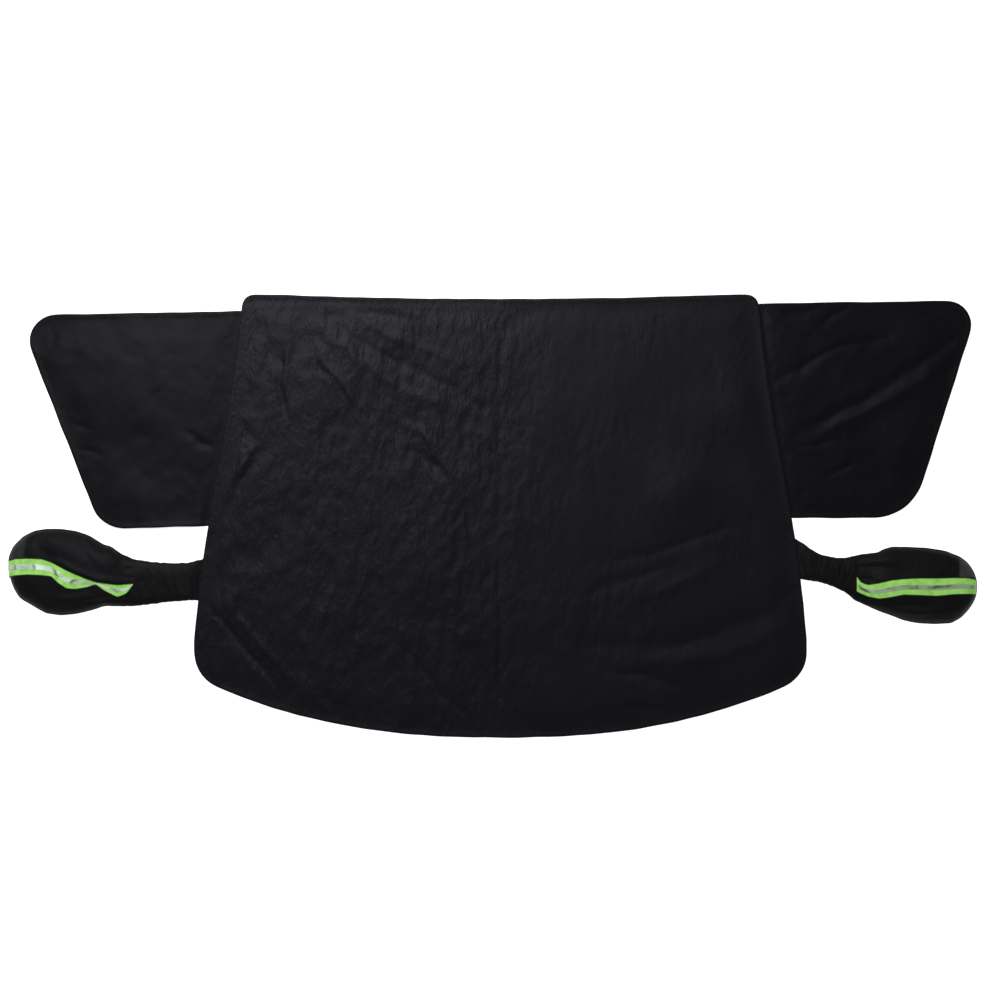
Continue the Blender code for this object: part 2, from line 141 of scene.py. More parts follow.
ELASTIC_RADIUS = 0.0015
MOUTH_STEP = 0.0018
NECK_RISE = 0.030
NECK_CROWN = 0.0080
NECK_GATHER = 0.0022
NECK_FINE_GATHER = 0.0012
NECK_RIPPLE = 0.0008
NECK_FADE_START = 0.010
NECK_FADE = 0.045
BEND = 0.6
FAN_DEPTH = 0.0026
FAN_RISE = 0.014
FAN_START = 0.015
FAN_FADE = 0.075
NECK_ROWS = 64
NECK_COLUMNS = 44
NECK_TUCK = 0.007
ARM_STEP = 0.002
EDGE_PUCKER = 0.0014
PUCKER_LENGTH = 0.011
TAPE_THICKNESS = 0.0006
TAPE_LIFT = 0.0008
TAPE_BRIDGE = 0.0012
TAPE_CELL = 0.0022
TAPE_SMOOTHING = 6
OFF_POUCH = 0.002
TAPE_BORDER = 0.0020
TAPE_COLUMNS = 20
STRIP_COLUMNS = {"left": 6, "right": 5}
STRIP_THICKNESS = 0.0004
STRIP_GAP = 0.00015
PINCH = 0.0022
RIB_COUNT = 9
RIB_HEIGHT = 0.00012
ELASTIC_ROWS = 40

NOISE_CELLS = 512
NOISE_GAIN = 1.5

# The width and height of noise cells
WARP_CELL = (0.05, 0.05)
WAVER_CELL = (0.06, 0.06)
PATCH_CELL = (0.13, 0.13)
SWELL_CELL = (0.16, 0.16)
SLACK_CELL = (0.09, 0.07)
BEND_CELL = (0.05, 0.04)
GATHER_CELL = (0.0125, 0.060)
FINE_GATHER_CELL = (0.0065, 0.030)
FAN_CELL = (0.070, 0.0125)
CRINKLE_CELL = (0.03, 0.03)
BINDING_CELL = (0.012, 0.012)

Fold = namedtuple("Fold", "height width points")
Mound = namedtuple("Mound", "height radius x y")
Crease = namedtuple("Crease", "depth across along turn")
Facets = namedtuple("Facets", "size depth stretch")

# Folds of the main panel. A valley has a height below 0.
MAIN_FOLDS = (
    Fold(-0.0028, 0.012, ((-0.450, 0.512), (-0.352, 0.427), (-0.253, 0.372), (-0.140, 0.322),
        (-0.042, 0.259))),
    Fold(0.0032, 0.014, ((-0.440, 0.470), (-0.390, 0.415), (-0.323, 0.365), (-0.239, 0.307),
        (-0.160, 0.270))),
    Fold(0.0026, 0.012, ((-0.400, 0.505), (-0.300, 0.450), (-0.200, 0.410), (-0.110, 0.370))),
    Fold(-0.0024, 0.009, ((-0.392, 0.506), (-0.294, 0.485), (-0.217, 0.470))),
    Fold(0.0020, 0.010, ((-0.330, 0.512), (-0.240, 0.495), (-0.150, 0.480))),
    Fold(-0.0022, 0.009, ((-0.464, 0.442), (-0.443, 0.372), (-0.392, 0.307), (-0.352, 0.259))),
    Fold(0.0026, 0.010, ((-0.440, 0.420), (-0.415, 0.360), (-0.370, 0.300), (-0.320, 0.240))),
    Fold(0.0032, 0.010, ((-0.270, 0.242), (-0.188, 0.202), (-0.138, 0.132), (-0.109, 0.060))),
    Fold(-0.0030, 0.008, ((-0.217, 0.161), (-0.140, 0.118), (-0.112, 0.062))),
    Fold(-0.0030, 0.009, ((-0.512, 0.434), (-0.527, 0.314), (-0.512, 0.223))),
    Fold(-0.0026, 0.008, ((-0.505, 0.103), (-0.512, 0.034), (-0.520, -0.022))),
    Fold(0.0030, 0.011, ((-0.512, 0.500), (-0.508, 0.400), (-0.516, 0.280))),
    Fold(-0.0026, 0.008, ((-0.556, 0.430), (-0.560, 0.350), (-0.552, 0.290))),
    Fold(-0.0042, 0.010, ((-0.563, 0.168), (-0.608, 0.110), (-0.654, 0.010))),
    Fold(0.0042, 0.010, ((-0.590, 0.168), (-0.636, 0.110), (-0.675, 0.026))),
    Fold(-0.0046, 0.0065, ((-0.695, -0.214), (-0.644, -0.286), (-0.577, -0.360), (-0.529, -0.415))),
    Fold(0.0036, 0.010, ((-0.661, -0.202), (-0.601, -0.278), (-0.536, -0.350), (-0.490, -0.400))),
    Fold(-0.0030, 0.009, ((-0.462, -0.382), (-0.425, -0.430), (-0.397, -0.482))),
    Fold(-0.0032, 0.010, ((-0.260, -0.290), (-0.196, -0.355), (-0.140, -0.432), (-0.073, -0.482))),
    Fold(-0.0046, 0.026, ((0.716, -0.154), (0.647, -0.230), (0.539, -0.274), (0.433, -0.310),
        (0.272, -0.310), (0.191, -0.314))),
    Fold(0.0030, 0.020, ((0.690, -0.260), (0.600, -0.310), (0.480, -0.345), (0.330, -0.352))),
    Fold(-0.0030, 0.010, ((0.251, -0.374), (0.340, -0.384), (0.428, -0.406))),
    Fold(-0.0020, 0.007, ((0.272, -0.463), (0.330, -0.460), (0.390, -0.463))),
    Fold(-0.0034, 0.016, ((0.270, -0.108), (0.350, -0.094), (0.432, -0.065), (0.560, -0.020))),
    Fold(-0.0026, 0.016, ((0.200, -0.192), (0.310, -0.150), (0.424, -0.113))),
    Fold(0.0024, 0.015, ((0.300, -0.215), (0.420, -0.165), (0.520, -0.110))),
    Fold(-0.0016, 0.0050, ((-0.004, 0.500), (-0.001, 0.200), (-0.003, -0.150))),
    Fold(-0.0036, 0.0055, ((-0.003, -0.120), (-0.001, -0.300), (-0.004, -0.526))),
)
MAIN_MOUNDS = (
    Mound(0.0045, 0.075, 0.560, 0.262),
    Mound(0.0070, 0.070, 0.425, 0.060),
    Mound(0.0040, 0.110, -0.380, 0.330),
    Mound(0.0030, 0.090, -0.160, -0.120),
)
LEFT_WING_FOLDS = (
    Fold(-0.0022, 0.007, ((-1.062, 0.480), (-1.070, 0.450), (-1.076, 0.415))),
    Fold(-0.0032, 0.009, ((-0.755, 0.206), (-0.721, 0.175), (-0.668, 0.161))),
    Fold(-0.0020, 0.007, ((-1.045, 0.221), (-1.010, 0.218), (-0.980, 0.209))),
    Fold(-0.0020, 0.007, ((-1.012, 0.161), (-0.980, 0.156), (-0.954, 0.144))),
)
RIGHT_WING_FOLDS = (
    Fold(-0.0050, 0.013, ((0.719, 0.197), (0.798, 0.240), (0.872, 0.276), (0.925, 0.312),
        (0.988, 0.350), (1.100, 0.434))),
    Fold(0.0040, 0.014, ((0.745, 0.182), (0.830, 0.228), (0.920, 0.276), (1.010, 0.328), (1.080, 0.385))),
    Fold(-0.0036, 0.010, ((0.659, 0.326), (0.719, 0.355), (0.757, 0.384), (0.815, 0.408),
        (0.894, 0.420), (0.932, 0.427))),
    Fold(-0.0026, 0.008, ((0.767, 0.458), (0.815, 0.487), (0.834, 0.504))),
    Fold(-0.0026, 0.008, ((0.673, 0.475), (0.710, 0.486), (0.750, 0.494))),
    Fold(-0.0028, 0.009, ((0.721, 0.166), (0.760, 0.174), (0.798, 0.185))),
    Fold(-0.0028, 0.009, ((0.774, 0.094), (0.815, 0.112), (0.853, 0.125))),
)
WING_MOUNDS = (Mound(0.0044, 0.130, -0.880, 0.320), Mound(0.0030, 0.060, 0.960, 0.160))
RAISED_HEMS = (Mound(0.0082, 0.125, -0.830, -0.065),)

# Creases of crumpled cloth: depth, width, length and the way each layer runs, in degrees from +Y.
BROAD_CREASES = (Crease(0.0034, 0.110, 0.180, 25.0), Crease(-0.0022, 0.060, 0.110, -40.0))
UPRIGHT_CREASES = (Crease(-0.0026, 0.026, 0.095, 4.0), Crease(-0.0020, 0.017, 0.060, -10.0))
CRISS_CREASES = (Crease(-0.0015, 0.034, 0.070, 62.0), Crease(0.0012, 0.020, 0.060, -35.0))

# Facets of crumpled cloth: their size, their height either way, and how much narrower than high they are.
MAIN_FACETS = (Facets(0.075, 0.0016, 1.5), Facets(0.034, 0.0010, 2.2), Facets(0.019, 0.0006, 2.2))
WING_FACETS = (Facets(0.085, 0.0020, 0.9), Facets(0.040, 0.0008, 1.0), Facets(0.020, 0.0003, 1.2))
POUCH_FACETS = (Facets(0.055, 0.0014, 1.0), Facets(0.026, 0.0008, 1.2), Facets(0.013, 0.0004, 1.2))

# The bright tapes as the photograph shows them: how far along, and the upper and lower edge there.
LEFT_TAPE = (
    (-1.1790, -0.1090, -0.1450), (-1.1600, -0.1030, -0.1415), (-1.1290, -0.1020, -0.1390),
    (-1.0960, -0.1035, -0.1405), (-1.0720, -0.1110, -0.1430), (-1.0550, -0.1200, -0.1590),
    (-1.0360, -0.1300, -0.1720), (-1.0140, -0.1400, -0.1735), (-0.9880, -0.1510, -0.1690),
    (-0.9660, -0.1585, -0.1620), (-0.9440, -0.1620, -0.1780), (-0.9160, -0.1655, -0.1930),
    (-0.8960, -0.1645, -0.1850), (-0.8800, -0.1630, -0.1650),
)
RIGHT_TAPE = (
    (0.8530, -0.1460, -0.1800), (0.8630, -0.1600, -0.1850), (0.8800, -0.1655, -0.1920),
    (0.9060, -0.1610, -0.1970), (0.9320, -0.1540, -0.1930), (0.9610, -0.1510, -0.1870),
    (0.9950, -0.1490, -0.1880), (1.0400, -0.1490, -0.1900), (1.0860, -0.1480, -0.1860),
    (1.1200, -0.1490, -0.1855), (1.1390, -0.1540, -0.1870),
)

# The upper and lower edges of each neck and pouch in the photograph: how far out from the middle, and y.
LEFT_UPPER = (
    (0.690, -0.100), (0.712, -0.103), (0.728, -0.107), (0.757, -0.113), (0.820, -0.112), (0.853, -0.108),
    (0.882, -0.102), (0.904, -0.094), (0.923, -0.082), (0.936, -0.072), (0.952, -0.069), (0.966, -0.060),
    (0.988, -0.046), (1.019, -0.036), (1.055, -0.031), (1.091, -0.031), (1.120, -0.036), (1.146, -0.050),
    (1.168, -0.072), (1.177, -0.091), (1.1805, -0.112),
)
LEFT_LOWER = (
    (0.690, -0.204), (0.728, -0.202), (0.798, -0.206), (0.834, -0.211), (0.875, -0.216), (0.952, -0.216),
    (0.980, -0.226), (1.019, -0.235), (1.055, -0.238), (1.091, -0.233), (1.112, -0.221), (1.132, -0.209),
    (1.153, -0.197), (1.165, -0.178), (1.175, -0.152), (1.1805, -0.128),
)
RIGHT_UPPER = (
    (0.700, -0.050), (0.721, -0.062), (0.748, -0.082), (0.772, -0.094), (0.808, -0.101), (0.839, -0.098),
    (0.870, -0.091), (0.904, -0.088), (0.920, -0.079), (0.940, -0.074), (0.973, -0.074), (1.028, -0.077),
    (1.069, -0.084), (1.103, -0.098), (1.122, -0.113), (1.136, -0.134), (1.1425, -0.158),
)
RIGHT_LOWER = (
    (0.700, -0.149), (0.738, -0.154), (0.781, -0.163), (0.812, -0.175), (0.836, -0.190), (0.848, -0.202),
    (0.872, -0.212), (0.913, -0.230), (0.937, -0.238), (0.967, -0.250), (1.001, -0.257), (1.040, -0.259),
    (1.081, -0.257), (1.103, -0.245), (1.124, -0.223), (1.138, -0.200), (1.1425, -0.176),
)

LEFT_POUCH_FOLDS = (
    Fold(0.0050, 0.0075, ((-1.066, -0.104), (-1.014, -0.131), (-0.966, -0.150), (-0.916, -0.157),
        (-0.880, -0.156))),
    Fold(-0.0026, 0.010, ((-1.110, -0.068), (-1.085, -0.090), (-1.060, -0.104))),
    Fold(0.0035, 0.012, ((-1.120, -0.185), (-1.060, -0.200), (-0.990, -0.196), (-0.930, -0.190))),
    Fold(-0.0026, 0.010, ((-1.000, -0.062), (-0.985, -0.100), (-0.960, -0.128))),
    Fold(-0.0030, 0.008, ((-1.020, -0.205), (-0.970, -0.206), (-0.900, -0.196))),
)
RIGHT_POUCH_FOLDS = (
    Fold(-0.0040, 0.010, ((0.870, -0.120), (0.910, -0.124), (0.960, -0.136))),
    Fold(0.0034, 0.009, ((0.875, -0.106), (0.925, -0.104), (0.990, -0.112))),
    Fold(-0.0036, 0.010, ((0.880, -0.200), (0.950, -0.214), (1.040, -0.212))),
    Fold(0.0038, 0.010, ((0.900, -0.212), (0.980, -0.232), (1.080, -0.226))),
    Fold(-0.0028, 0.008, ((1.010, -0.092), (1.060, -0.110), (1.090, -0.136))),
)

# A pouch's pale end, paler worn cloth brightened with painted sheen where it catches the light, is further
# out than its reach at its y, and above that y.
Patch = namedtuple("Patch", "reach y slant soft colour")
LEFT_PALE_SHEEN = Patch(1.136, -0.104, 0.11, 0.008, (0.031, 0.033, 0.035))
RIGHT_PALE_SHEEN = Patch(1.092, -0.146, -0.086, 0.008, (0.058, 0.058, 0.062))

# Ridges that cross the tapes.
LEFT_TAPE_FOLDS = (
    Fold(0.0022, 0.0040, ((-1.120, -0.098), (-1.112, -0.122), (-1.107, -0.148))),
    Fold(0.0026, 0.0042, ((-1.074, -0.100), (-1.063, -0.126), (-1.052, -0.165))),
    Fold(0.0024, 0.0040, ((-1.036, -0.170), (-1.018, -0.152), (-0.992, -0.146))),
    Fold(0.0018, 0.0035, ((-1.158, -0.100), (-1.160, -0.124), (-1.156, -0.144))),
    Fold(0.0016, 0.0040, ((-0.926, -0.166), (-0.918, -0.182), (-0.904, -0.196))),
)
RIGHT_TAPE_FOLDS = (
    Fold(0.0022, 0.0040, ((0.852, -0.158), (0.866, -0.175), (0.890, -0.186))),
    Fold(0.0024, 0.0040, ((1.014, -0.172), (1.040, -0.169), (1.084, -0.166))),
    Fold(0.0018, 0.0040, ((1.124, -0.166), (1.132, -0.170), (1.142, -0.172))),
)

Side = namedtuple("Side", "name sign seam upper lower wing_folds pouch_folds tape tape_folds patch seed")
LEFT = Side(
    name="left", sign=-1, seam=0.874, upper=LEFT_UPPER, lower=LEFT_LOWER,
    wing_folds=LEFT_WING_FOLDS, pouch_folds=LEFT_POUCH_FOLDS, tape=LEFT_TAPE,
    tape_folds=LEFT_TAPE_FOLDS, patch=LEFT_PALE_SHEEN, seed=300,
)
RIGHT = Side(
    name="right", sign=1, seam=0.850, upper=RIGHT_UPPER, lower=RIGHT_LOWER,
    wing_folds=RIGHT_WING_FOLDS, pouch_folds=RIGHT_POUCH_FOLDS, tape=RIGHT_TAPE,
    tape_folds=RIGHT_TAPE_FOLDS, patch=RIGHT_PALE_SHEEN, seed=400,
)


# Shapes and noise


def eased(share):
    """0 up to 0, 1 from 1, and a smooth step between."""
    held = np.clip(share, 0.0, 1.0)
    return held * held * (3.0 - 2.0 * held)


def soft_noise(x, y, seed):
    """Smooth noise of one cell a unit, from about -1 to 1."""
    angles = np.random.default_rng(seed).uniform(0.0, 2.0 * np.pi, (NOISE_CELLS, NOISE_CELLS))
    column = np.floor(x).astype(int)
    row = np.floor(y).astype(int)
    part_x = x - column
    part_y = y - row
    fade_x = eased(part_x)
    fade_y = eased(part_y)
    total = np.zeros_like(part_x)
    for step_x, weight_x in ((0, 1.0 - fade_x), (1, fade_x)):
        for step_y, weight_y in ((0, 1.0 - fade_y), (1, fade_y)):
            angle = angles[(column + step_x) % NOISE_CELLS, (row + step_y) % NOISE_CELLS]
            pull = np.cos(angle) * (part_x - step_x) + np.sin(angle) * (part_y - step_y)
            total += pull * weight_x * weight_y
    return NOISE_GAIN * total


def cell_noise(x, y, cell, seed, bend=0.0):
    """Smooth noise whose cells have a width and a height in metres, moved sideways by a bend in cells."""
    return soft_noise(x / cell[0] + bend, y / cell[1], seed)


def line_noise(run, seed, row=0.5):
    """Smooth noise along a line."""
    return soft_noise(run, row + 0 * run, seed)


def warped(x, y, amount, seed):
    """Places moved a little, so that lines through them waver."""
    warp_x = x + amount * cell_noise(x, y, WARP_CELL, seed)
    return warp_x, y + amount * cell_noise(x, y, WARP_CELL, seed + 1)


def crumple(x, y, creases, seed):
    """Crumpled cloth: each layer has sharp creases where its noise passes zero, and is soft between them."""
    total = np.zeros_like(x)
    for number, crease in enumerate(creases):
        turn = math.radians(crease.turn)
        wander = 0.9 * soft_noise(x / (2.5 * crease.along), y / (2.5 * crease.along), seed + 60 + number)
        across = (x * math.cos(turn) + y * math.sin(turn)) / crease.across + wander
        along = (y * math.cos(turn) - x * math.sin(turn)) / crease.along
        total += crease.depth * np.abs(soft_noise(across, along, seed + number))
    return total


def facets(x, y, kind, seed):
    """Crumpled cloth: flat facets that meet in sharp creases, narrower from left to right."""
    random = np.random.default_rng(seed)
    squeezed = np.column_stack([x * kind.stretch, y])
    low = squeezed.min(axis=0) - 2 * kind.size
    high = squeezed.max(axis=0) + 2 * kind.size
    columns, rows = ((high - low) / kind.size).astype(int) + 1
    corners = np.indices((columns, rows)).reshape(2, -1).T * kind.size + low
    corners += random.uniform(-0.42, 0.42, corners.shape) * kind.size
    flat, _, triangles, *_ = delaunay_2d_cdt([Vector(corner) for corner in corners], [], [], 0, 1e-7)
    heights = random.uniform(-kind.depth, kind.depth, len(flat))
    points = [(point.x, point.y, height) for point, height in zip(flat, heights)]
    tree = BVHTree.FromPolygons(points, triangles)
    return np.array([drop(tree, *place, 1.0).z for place in squeezed])


def fold_heights(x, y, folds):
    """Named folds, each highest at the middle of its line and fading at its ends."""
    total = np.zeros_like(x)
    for fold in folds:
        nearest = np.full_like(x, np.inf)
        share = np.zeros_like(x)
        legs = list(zip(fold.points, fold.points[1:]))
        lengths = [math.dist(start, end) for start, end in legs]
        run = 0.0
        for (start, end), length in zip(legs, lengths):
            run_x = (end[0] - start[0]) / length
            run_y = (end[1] - start[1]) / length
            part = np.clip((x - start[0]) * run_x + (y - start[1]) * run_y, 0.0, length)
            distance = np.hypot(x - start[0] - part * run_x, y - start[1] - part * run_y)
            closer = distance < nearest
            nearest[closer] = distance[closer]
            share[closer] = (run + part[closer]) / sum(lengths)
            run += length
        fade = np.sin(np.pi * (0.06 + 0.88 * share)) ** 0.7
        total += fold.height * fade * np.exp(-((nearest / fold.width) ** 1.5))
    return total


def mound_heights(x, y, mounds):
    """Places where the cloth stands a little off the floor."""
    total = np.zeros_like(x)
    for mound in mounds:
        reach = np.hypot(x - mound.x, y - mound.y) / mound.radius
        total += mound.height * np.exp(-reach * reach)
    return total


# Outlines


def flat_loops(node, level):
    """Outlines of a node's flat faces at a height, largest first, each turning left."""
    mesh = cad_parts[node].data
    borders = set()
    for face in mesh.polygons:
        corners = [mesh.vertices[index].co for index in face.vertices]
        if max(abs(corner.z - level) for corner in corners) > 0.0001:
            continue
        keys = [(round(corner.x, 5), round(corner.y, 5)) for corner in corners]
        for start, end in zip(keys, keys[1:] + keys[:1]):
            if (end, start) in borders:
                borders.remove((end, start))
            elif start != end:
                borders.add((start, end))
    following = dict(borders)
    loops = []
    while following:
        start, point = following.popitem()
        loop = [start]
        while point != start:
            loop.append(point)
            point = following.pop(point)
        loops.append(np.array(loop))
    loops = [loop if signed_area(loop) > 0 else loop[::-1] for loop in loops]
    return sorted(loops, key=lambda loop: -abs(signed_area(loop)))


def signed_area(loop):
    """A closed outline's area, above 0 where it turns left."""
    x, y = loop[:, 0], loop[:, 1]
    return float(np.sum(x * np.roll(y, -1) - np.roll(x, -1) * y)) / 2


def run_along(line):
    """How far along an open line each of its points is."""
    return np.concatenate([[0.0], np.cumsum(np.hypot(*np.diff(line, axis=0).T))])


def walked(line, step):
    """An open line with its points about a step apart."""
    run = run_along(line)
    places = np.linspace(0.0, run[-1], max(8, round(run[-1] / step)) + 1)
    return np.column_stack([np.interp(places, run, line[:, axis]) for axis in (0, 1)])


def evened(loop, step, passes=0):
    """The closed outline with its points a step apart, its corners softened by smoothing passes."""
    even = walked(np.vstack([loop, loop[:1]]), step)[:-1]
    for _ in range(passes):
        even = (np.roll(even, 1, axis=0) + 2 * even + np.roll(even, -1, axis=0)) / 4
    return even


def inset(loop, depth):
    """The outline moved inward by a depth, or by one depth for each point."""
    ahead = np.roll(loop, -1, axis=0) - np.roll(loop, 1, axis=0)
    ahead /= np.linalg.norm(ahead, axis=1)[:, None]
    return loop + np.reshape(depth, (-1, 1)) * np.column_stack([-ahead[:, 1], ahead[:, 0]])


def wavering(loop, seed):
    """The outline with the slight waver of a sewn edge."""
    return inset(loop, EDGE_WAVER * cell_noise(*loop.T, WAVER_CELL, seed))


def softened(values, weights):
    """Values along a line, each averaged with its neighbours by weights, with the ends held."""
    held = len(weights) // 2
    result = values.copy()
    result[held:-held] = np.convolve(values, np.array(weights) / sum(weights), "valid")
    return result


def inside(points, loop):
    """Which points lie inside an outline."""
    x, y = points[:, 0], points[:, 1]
    result = np.zeros(len(points), bool)
    for (x0, y0), (x1, y1) in zip(loop, np.roll(loop, -1, axis=0)):
        if y0 == y1:
            continue
        crosses = (y0 > y) != (y1 > y)
        result ^= crosses & (x < x0 + (y - y0) * (x1 - x0) / (y1 - y0))
    return result


class Trace:
    """An outline that tells how far points are from it, and how far round it they are."""

    def __init__(self, points):
        self.points = points
        self.tree = KDTree(len(points))
        for index, (x, y) in enumerate(points):
            self.tree.insert((x, y, 0.0), index)
        self.tree.balance()

    def measure(self, points):
        """Each point's distance from the outline, and the run along it to there."""
        found = [self.tree.find((x, y, 0.0)) for x, y in points]
        distance = np.array([hit[2] for hit in found])
        run = np.array([hit[1] for hit in found]) * TRACE_STEP
        return distance, run


# Meshes


def add_piece(name, points, faces, material, slot_name, **measures):
    """A piece of the object, riding on its one body, with measures of its points for its material."""
    mesh = bpy.data.meshes.new(name)
    mesh.from_pydata(np.asarray(points, float).tolist(), [], faces)
    mesh.polygons.foreach_set("use_smooth", [True] * len(mesh.polygons))
    mesh.set_sharp_from_angle(angle=SHARP_ANGLE)
    mesh.materials.append(material)
    mesh.update()
    for label, values in measures.items():
        layer = mesh.attributes.new(label, "FLOAT", "POINT")
        layer.data.foreach_set("value", np.full(len(points), values, np.float32))
    piece = bpy.data.objects.new(name, mesh)
    bpy.context.collection.objects.link(piece)
    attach(piece, "root")
    return piece


def spread_points(loop, cell):
    """Points for a sheet: its outline, rings just inside it for the hem, and an even field."""
    trace = Trace(evened(loop, TRACE_STEP))
    rings = [loop]
    for depth in EDGE_DEPTHS:
        ring = inset(loop, depth)
        distance, _ = trace.measure(ring)
        rings.append(ring[distance > 0.93 * depth])
    low, high = loop.min(axis=0), loop.max(axis=0)
    row_step = cell * math.sqrt(3) / 2
    field = []
    for row in range(int((high[1] - low[1]) / row_step) + 1):
        y = low[1] + row * row_step
        for column in range(int((high[0] - low[0]) / cell) + 1):
            field.append((low[0] + (column + 0.5 * (row % 2)) * cell, y))
    field = np.array(field)
    jitter = np.random.default_rng(len(field)).uniform(-0.16, 0.16, field.shape) * cell
    field = (field + jitter)[inside(field, loop)]
    distance, _ = trace.measure(field)
    rings.append(field[distance > EDGE_DEPTHS[-1] + 0.6 * cell])
    return np.vstack(rings), trace


def sheet_piece(name, loop, cell, shape, material, slot_name):
    """A closed thin sheet. shape gives its points' under and upper heights and how crinkled they are."""
    points, trace = spread_points(loop, cell)
    count = len(loop)
    border = [(index, (index + 1) % count) for index in range(count)]
    flat, _, triangles, *_ = delaunay_2d_cdt([Vector(point) for point in points], border, [], 1, 1e-7)
    flat = np.array([(point.x, point.y) for point in flat])
    distance, run = trace.measure(flat)
    distance[:count] = 0.0
    under, upper, crinkled = shape(flat, distance, run)
    points = np.vstack([np.column_stack([flat, upper]), np.column_stack([flat, under])[count:]])
    distance, crinkled = (np.concatenate([values, values[count:]]) for values in (distance, crinkled))
    shift = len(flat) - count
    faces = [tuple(triangle) for triangle in triangles]
    for triangle in triangles:
        lower = [index if index < count else index + shift for index in triangle]
        faces.append(tuple(reversed(lower)))
    return add_piece(name, points, faces, material, slot_name, edge_distance=distance, crinkled=crinkled)


def tube_faces(rows, columns, closed_rows):
    """Faces of a grid whose columns go round. The rows go round too where closed_rows is true."""
    faces = []
    for row in range(rows if closed_rows else rows - 1):
        here = row * columns
        ahead = ((row + 1) % rows) * columns
        for column in range(columns):
            beside = (column + 1) % columns
            faces.append((here + column, ahead + column, ahead + beside, here + beside))
    return faces


def shell_faces(rows, columns):
    """Faces of two stacked grids of the same size, joined round their borders."""
    size = rows * columns
    faces = []
    for row in range(rows - 1):
        for column in range(columns - 1):
            corner = row * columns + column
            quad = (corner, corner + columns, corner + columns + 1, corner + 1)
            faces.append(quad)
            faces.append(tuple(size + index for index in reversed(quad)))
    border = list(range(columns))
    border += [row * columns + columns - 1 for row in range(1, rows)]
    border += [(rows - 1) * columns + column for column in range(columns - 2, -1, -1)]
    border += [row * columns for row in range(rows - 2, 0, -1)]
    for start, end in zip(border, border[1:] + border[:1]):
        faces.append((start, end, size + end, size + start))
    return faces


def add_shell(name, upper, under, material, slot_name, **measures):
    """A closed thin piece between two grids of points."""
    faces = shell_faces(*upper.shape[:2])
    if (upper[1, 0] - upper[0, 0])[0] * (upper[0, 1] - upper[0, 0])[1] < 0:
        faces = [tuple(reversed(face)) for face in faces]
    points = np.vstack([upper.reshape(-1, 3), under.reshape(-1, 3)])
    return add_piece(name, points, faces, material, slot_name, **measures)


def surface_of(pieces):
    """A tree for finding points on the surface of pieces."""
    points = []
    faces = []
    for piece in pieces:
        first = len(points)
        points += [vertex.co.copy() for vertex in piece.data.vertices]
        faces += [tuple(first + index for index in face.vertices) for face in piece.data.polygons]
    return BVHTree.FromPolygons(points, faces)


def drop(tree, x, y, start=0.2):
    """Where a plumb line from a height above meets a surface."""
    return tree.ray_cast(Vector((x, y, start)), Vector((0.0, 0.0, -1.0)))[0]


def stitch_points(start, end):
    """One stitch: a short thread with pointed ends."""
    along = end - start
    sideways = Vector((-along.y, along.x, 0.0)).normalized()
    upward = sideways.cross(along).normalized()
    if upward.z < 0:
        upward = -upward
    points = [start - upward * STITCH_RADIUS]
    for share in (0.18, 0.82):
        for turn in range(STITCH_SIDES):
            angle = 2 * math.pi * turn / STITCH_SIDES
            offset = sideways * math.cos(angle) + upward * math.sin(angle)
            points.append(start + along * share + offset * STITCH_RADIUS)
    points.append(end - upward * STITCH_RADIUS)
    return points


def stitch_faces(first):
    """Faces of one stitch whose points start at an index."""
    faces = []
    last = first + 2 * STITCH_SIDES + 1
    for turn in range(STITCH_SIDES):
        near = first + 1 + turn
        beside = first + 1 + (turn + 1) % STITCH_SIDES
        faces.append((first, beside, near))
        faces.append((near, beside, beside + STITCH_SIDES, near + STITCH_SIDES))
        faces.append((last, near + STITCH_SIDES, beside + STITCH_SIDES))
    return faces


def add_stitches(name, line, tree, material, slot_name, closed):
    """A row of stitches on a surface along a line of x and y."""
    closed_line = np.vstack([line, line[:1]]) if closed else np.asarray(line)
    run = run_along(closed_line)
    points = []
    faces = []
    for number in range(int(run[-1] / STITCH_PITCH)):
        ends = []
        for place in (number * STITCH_PITCH, number * STITCH_PITCH + STITCH_LENGTH):
            hit = drop(tree, *(np.interp(place, run, closed_line[:, axis]) for axis in (0, 1)))
            if hit is not None:
                ends.append(hit + Vector((0.0, 0.0, 0.4 * STITCH_RADIUS)))
        if len(ends) == 2:
            faces += stitch_faces(len(points))
            points += stitch_points(*ends)
    return add_piece(name, points, faces, material, slot_name)


# Materials


def link(tree, output, target):
    """Joins one node's output to another's input."""
    tree.links.new(output, target)


def new_material(name):
    """A material with only its principled shader and output."""
    material = bpy.data.materials.new(name)
    material.use_nodes = True
    shader = material.node_tree.nodes["Principled BSDF"]
    return material, material.node_tree, shader


def add_node(tree, kind, **inputs):
    """A new node of a kind, with inputs set to a value or joined to another node's output."""
    node = tree.nodes.new(kind)
    for name, value in inputs.items():
        socket = node.inputs[name.replace("_", " ")]
        if isinstance(value, bpy.types.NodeSocket):
            link(tree, value, socket)
        else:
            socket.default_value = value
    return node


def scaled_place(tree, scale, turn=0.0):
    """The place on the object, turned and scaled, for a texture."""
    place = add_node(tree, "ShaderNodeTexCoord").outputs["Object"]
    scale = scale if isinstance(scale, tuple) else (scale,) * 3
    turned = (0.0, 0.0, math.radians(turn))
    mapping = add_node(tree, "ShaderNodeMapping", Scale=scale, Rotation=turned, Vector=place)
    return mapping.outputs["Vector"]


def noise_texture(tree, scale, detail, turn=0.0, distortion=0.0):
    """Noise with one scale, or one along each axis, in cells a metre."""
    place = scaled_place(tree, scale, turn)
    noise = add_node(tree, "ShaderNodeTexNoise", Scale=1.0, Detail=detail, Vector=place)
    noise.inputs["Distortion"].default_value = distortion
    return noise.outputs["Fac"]


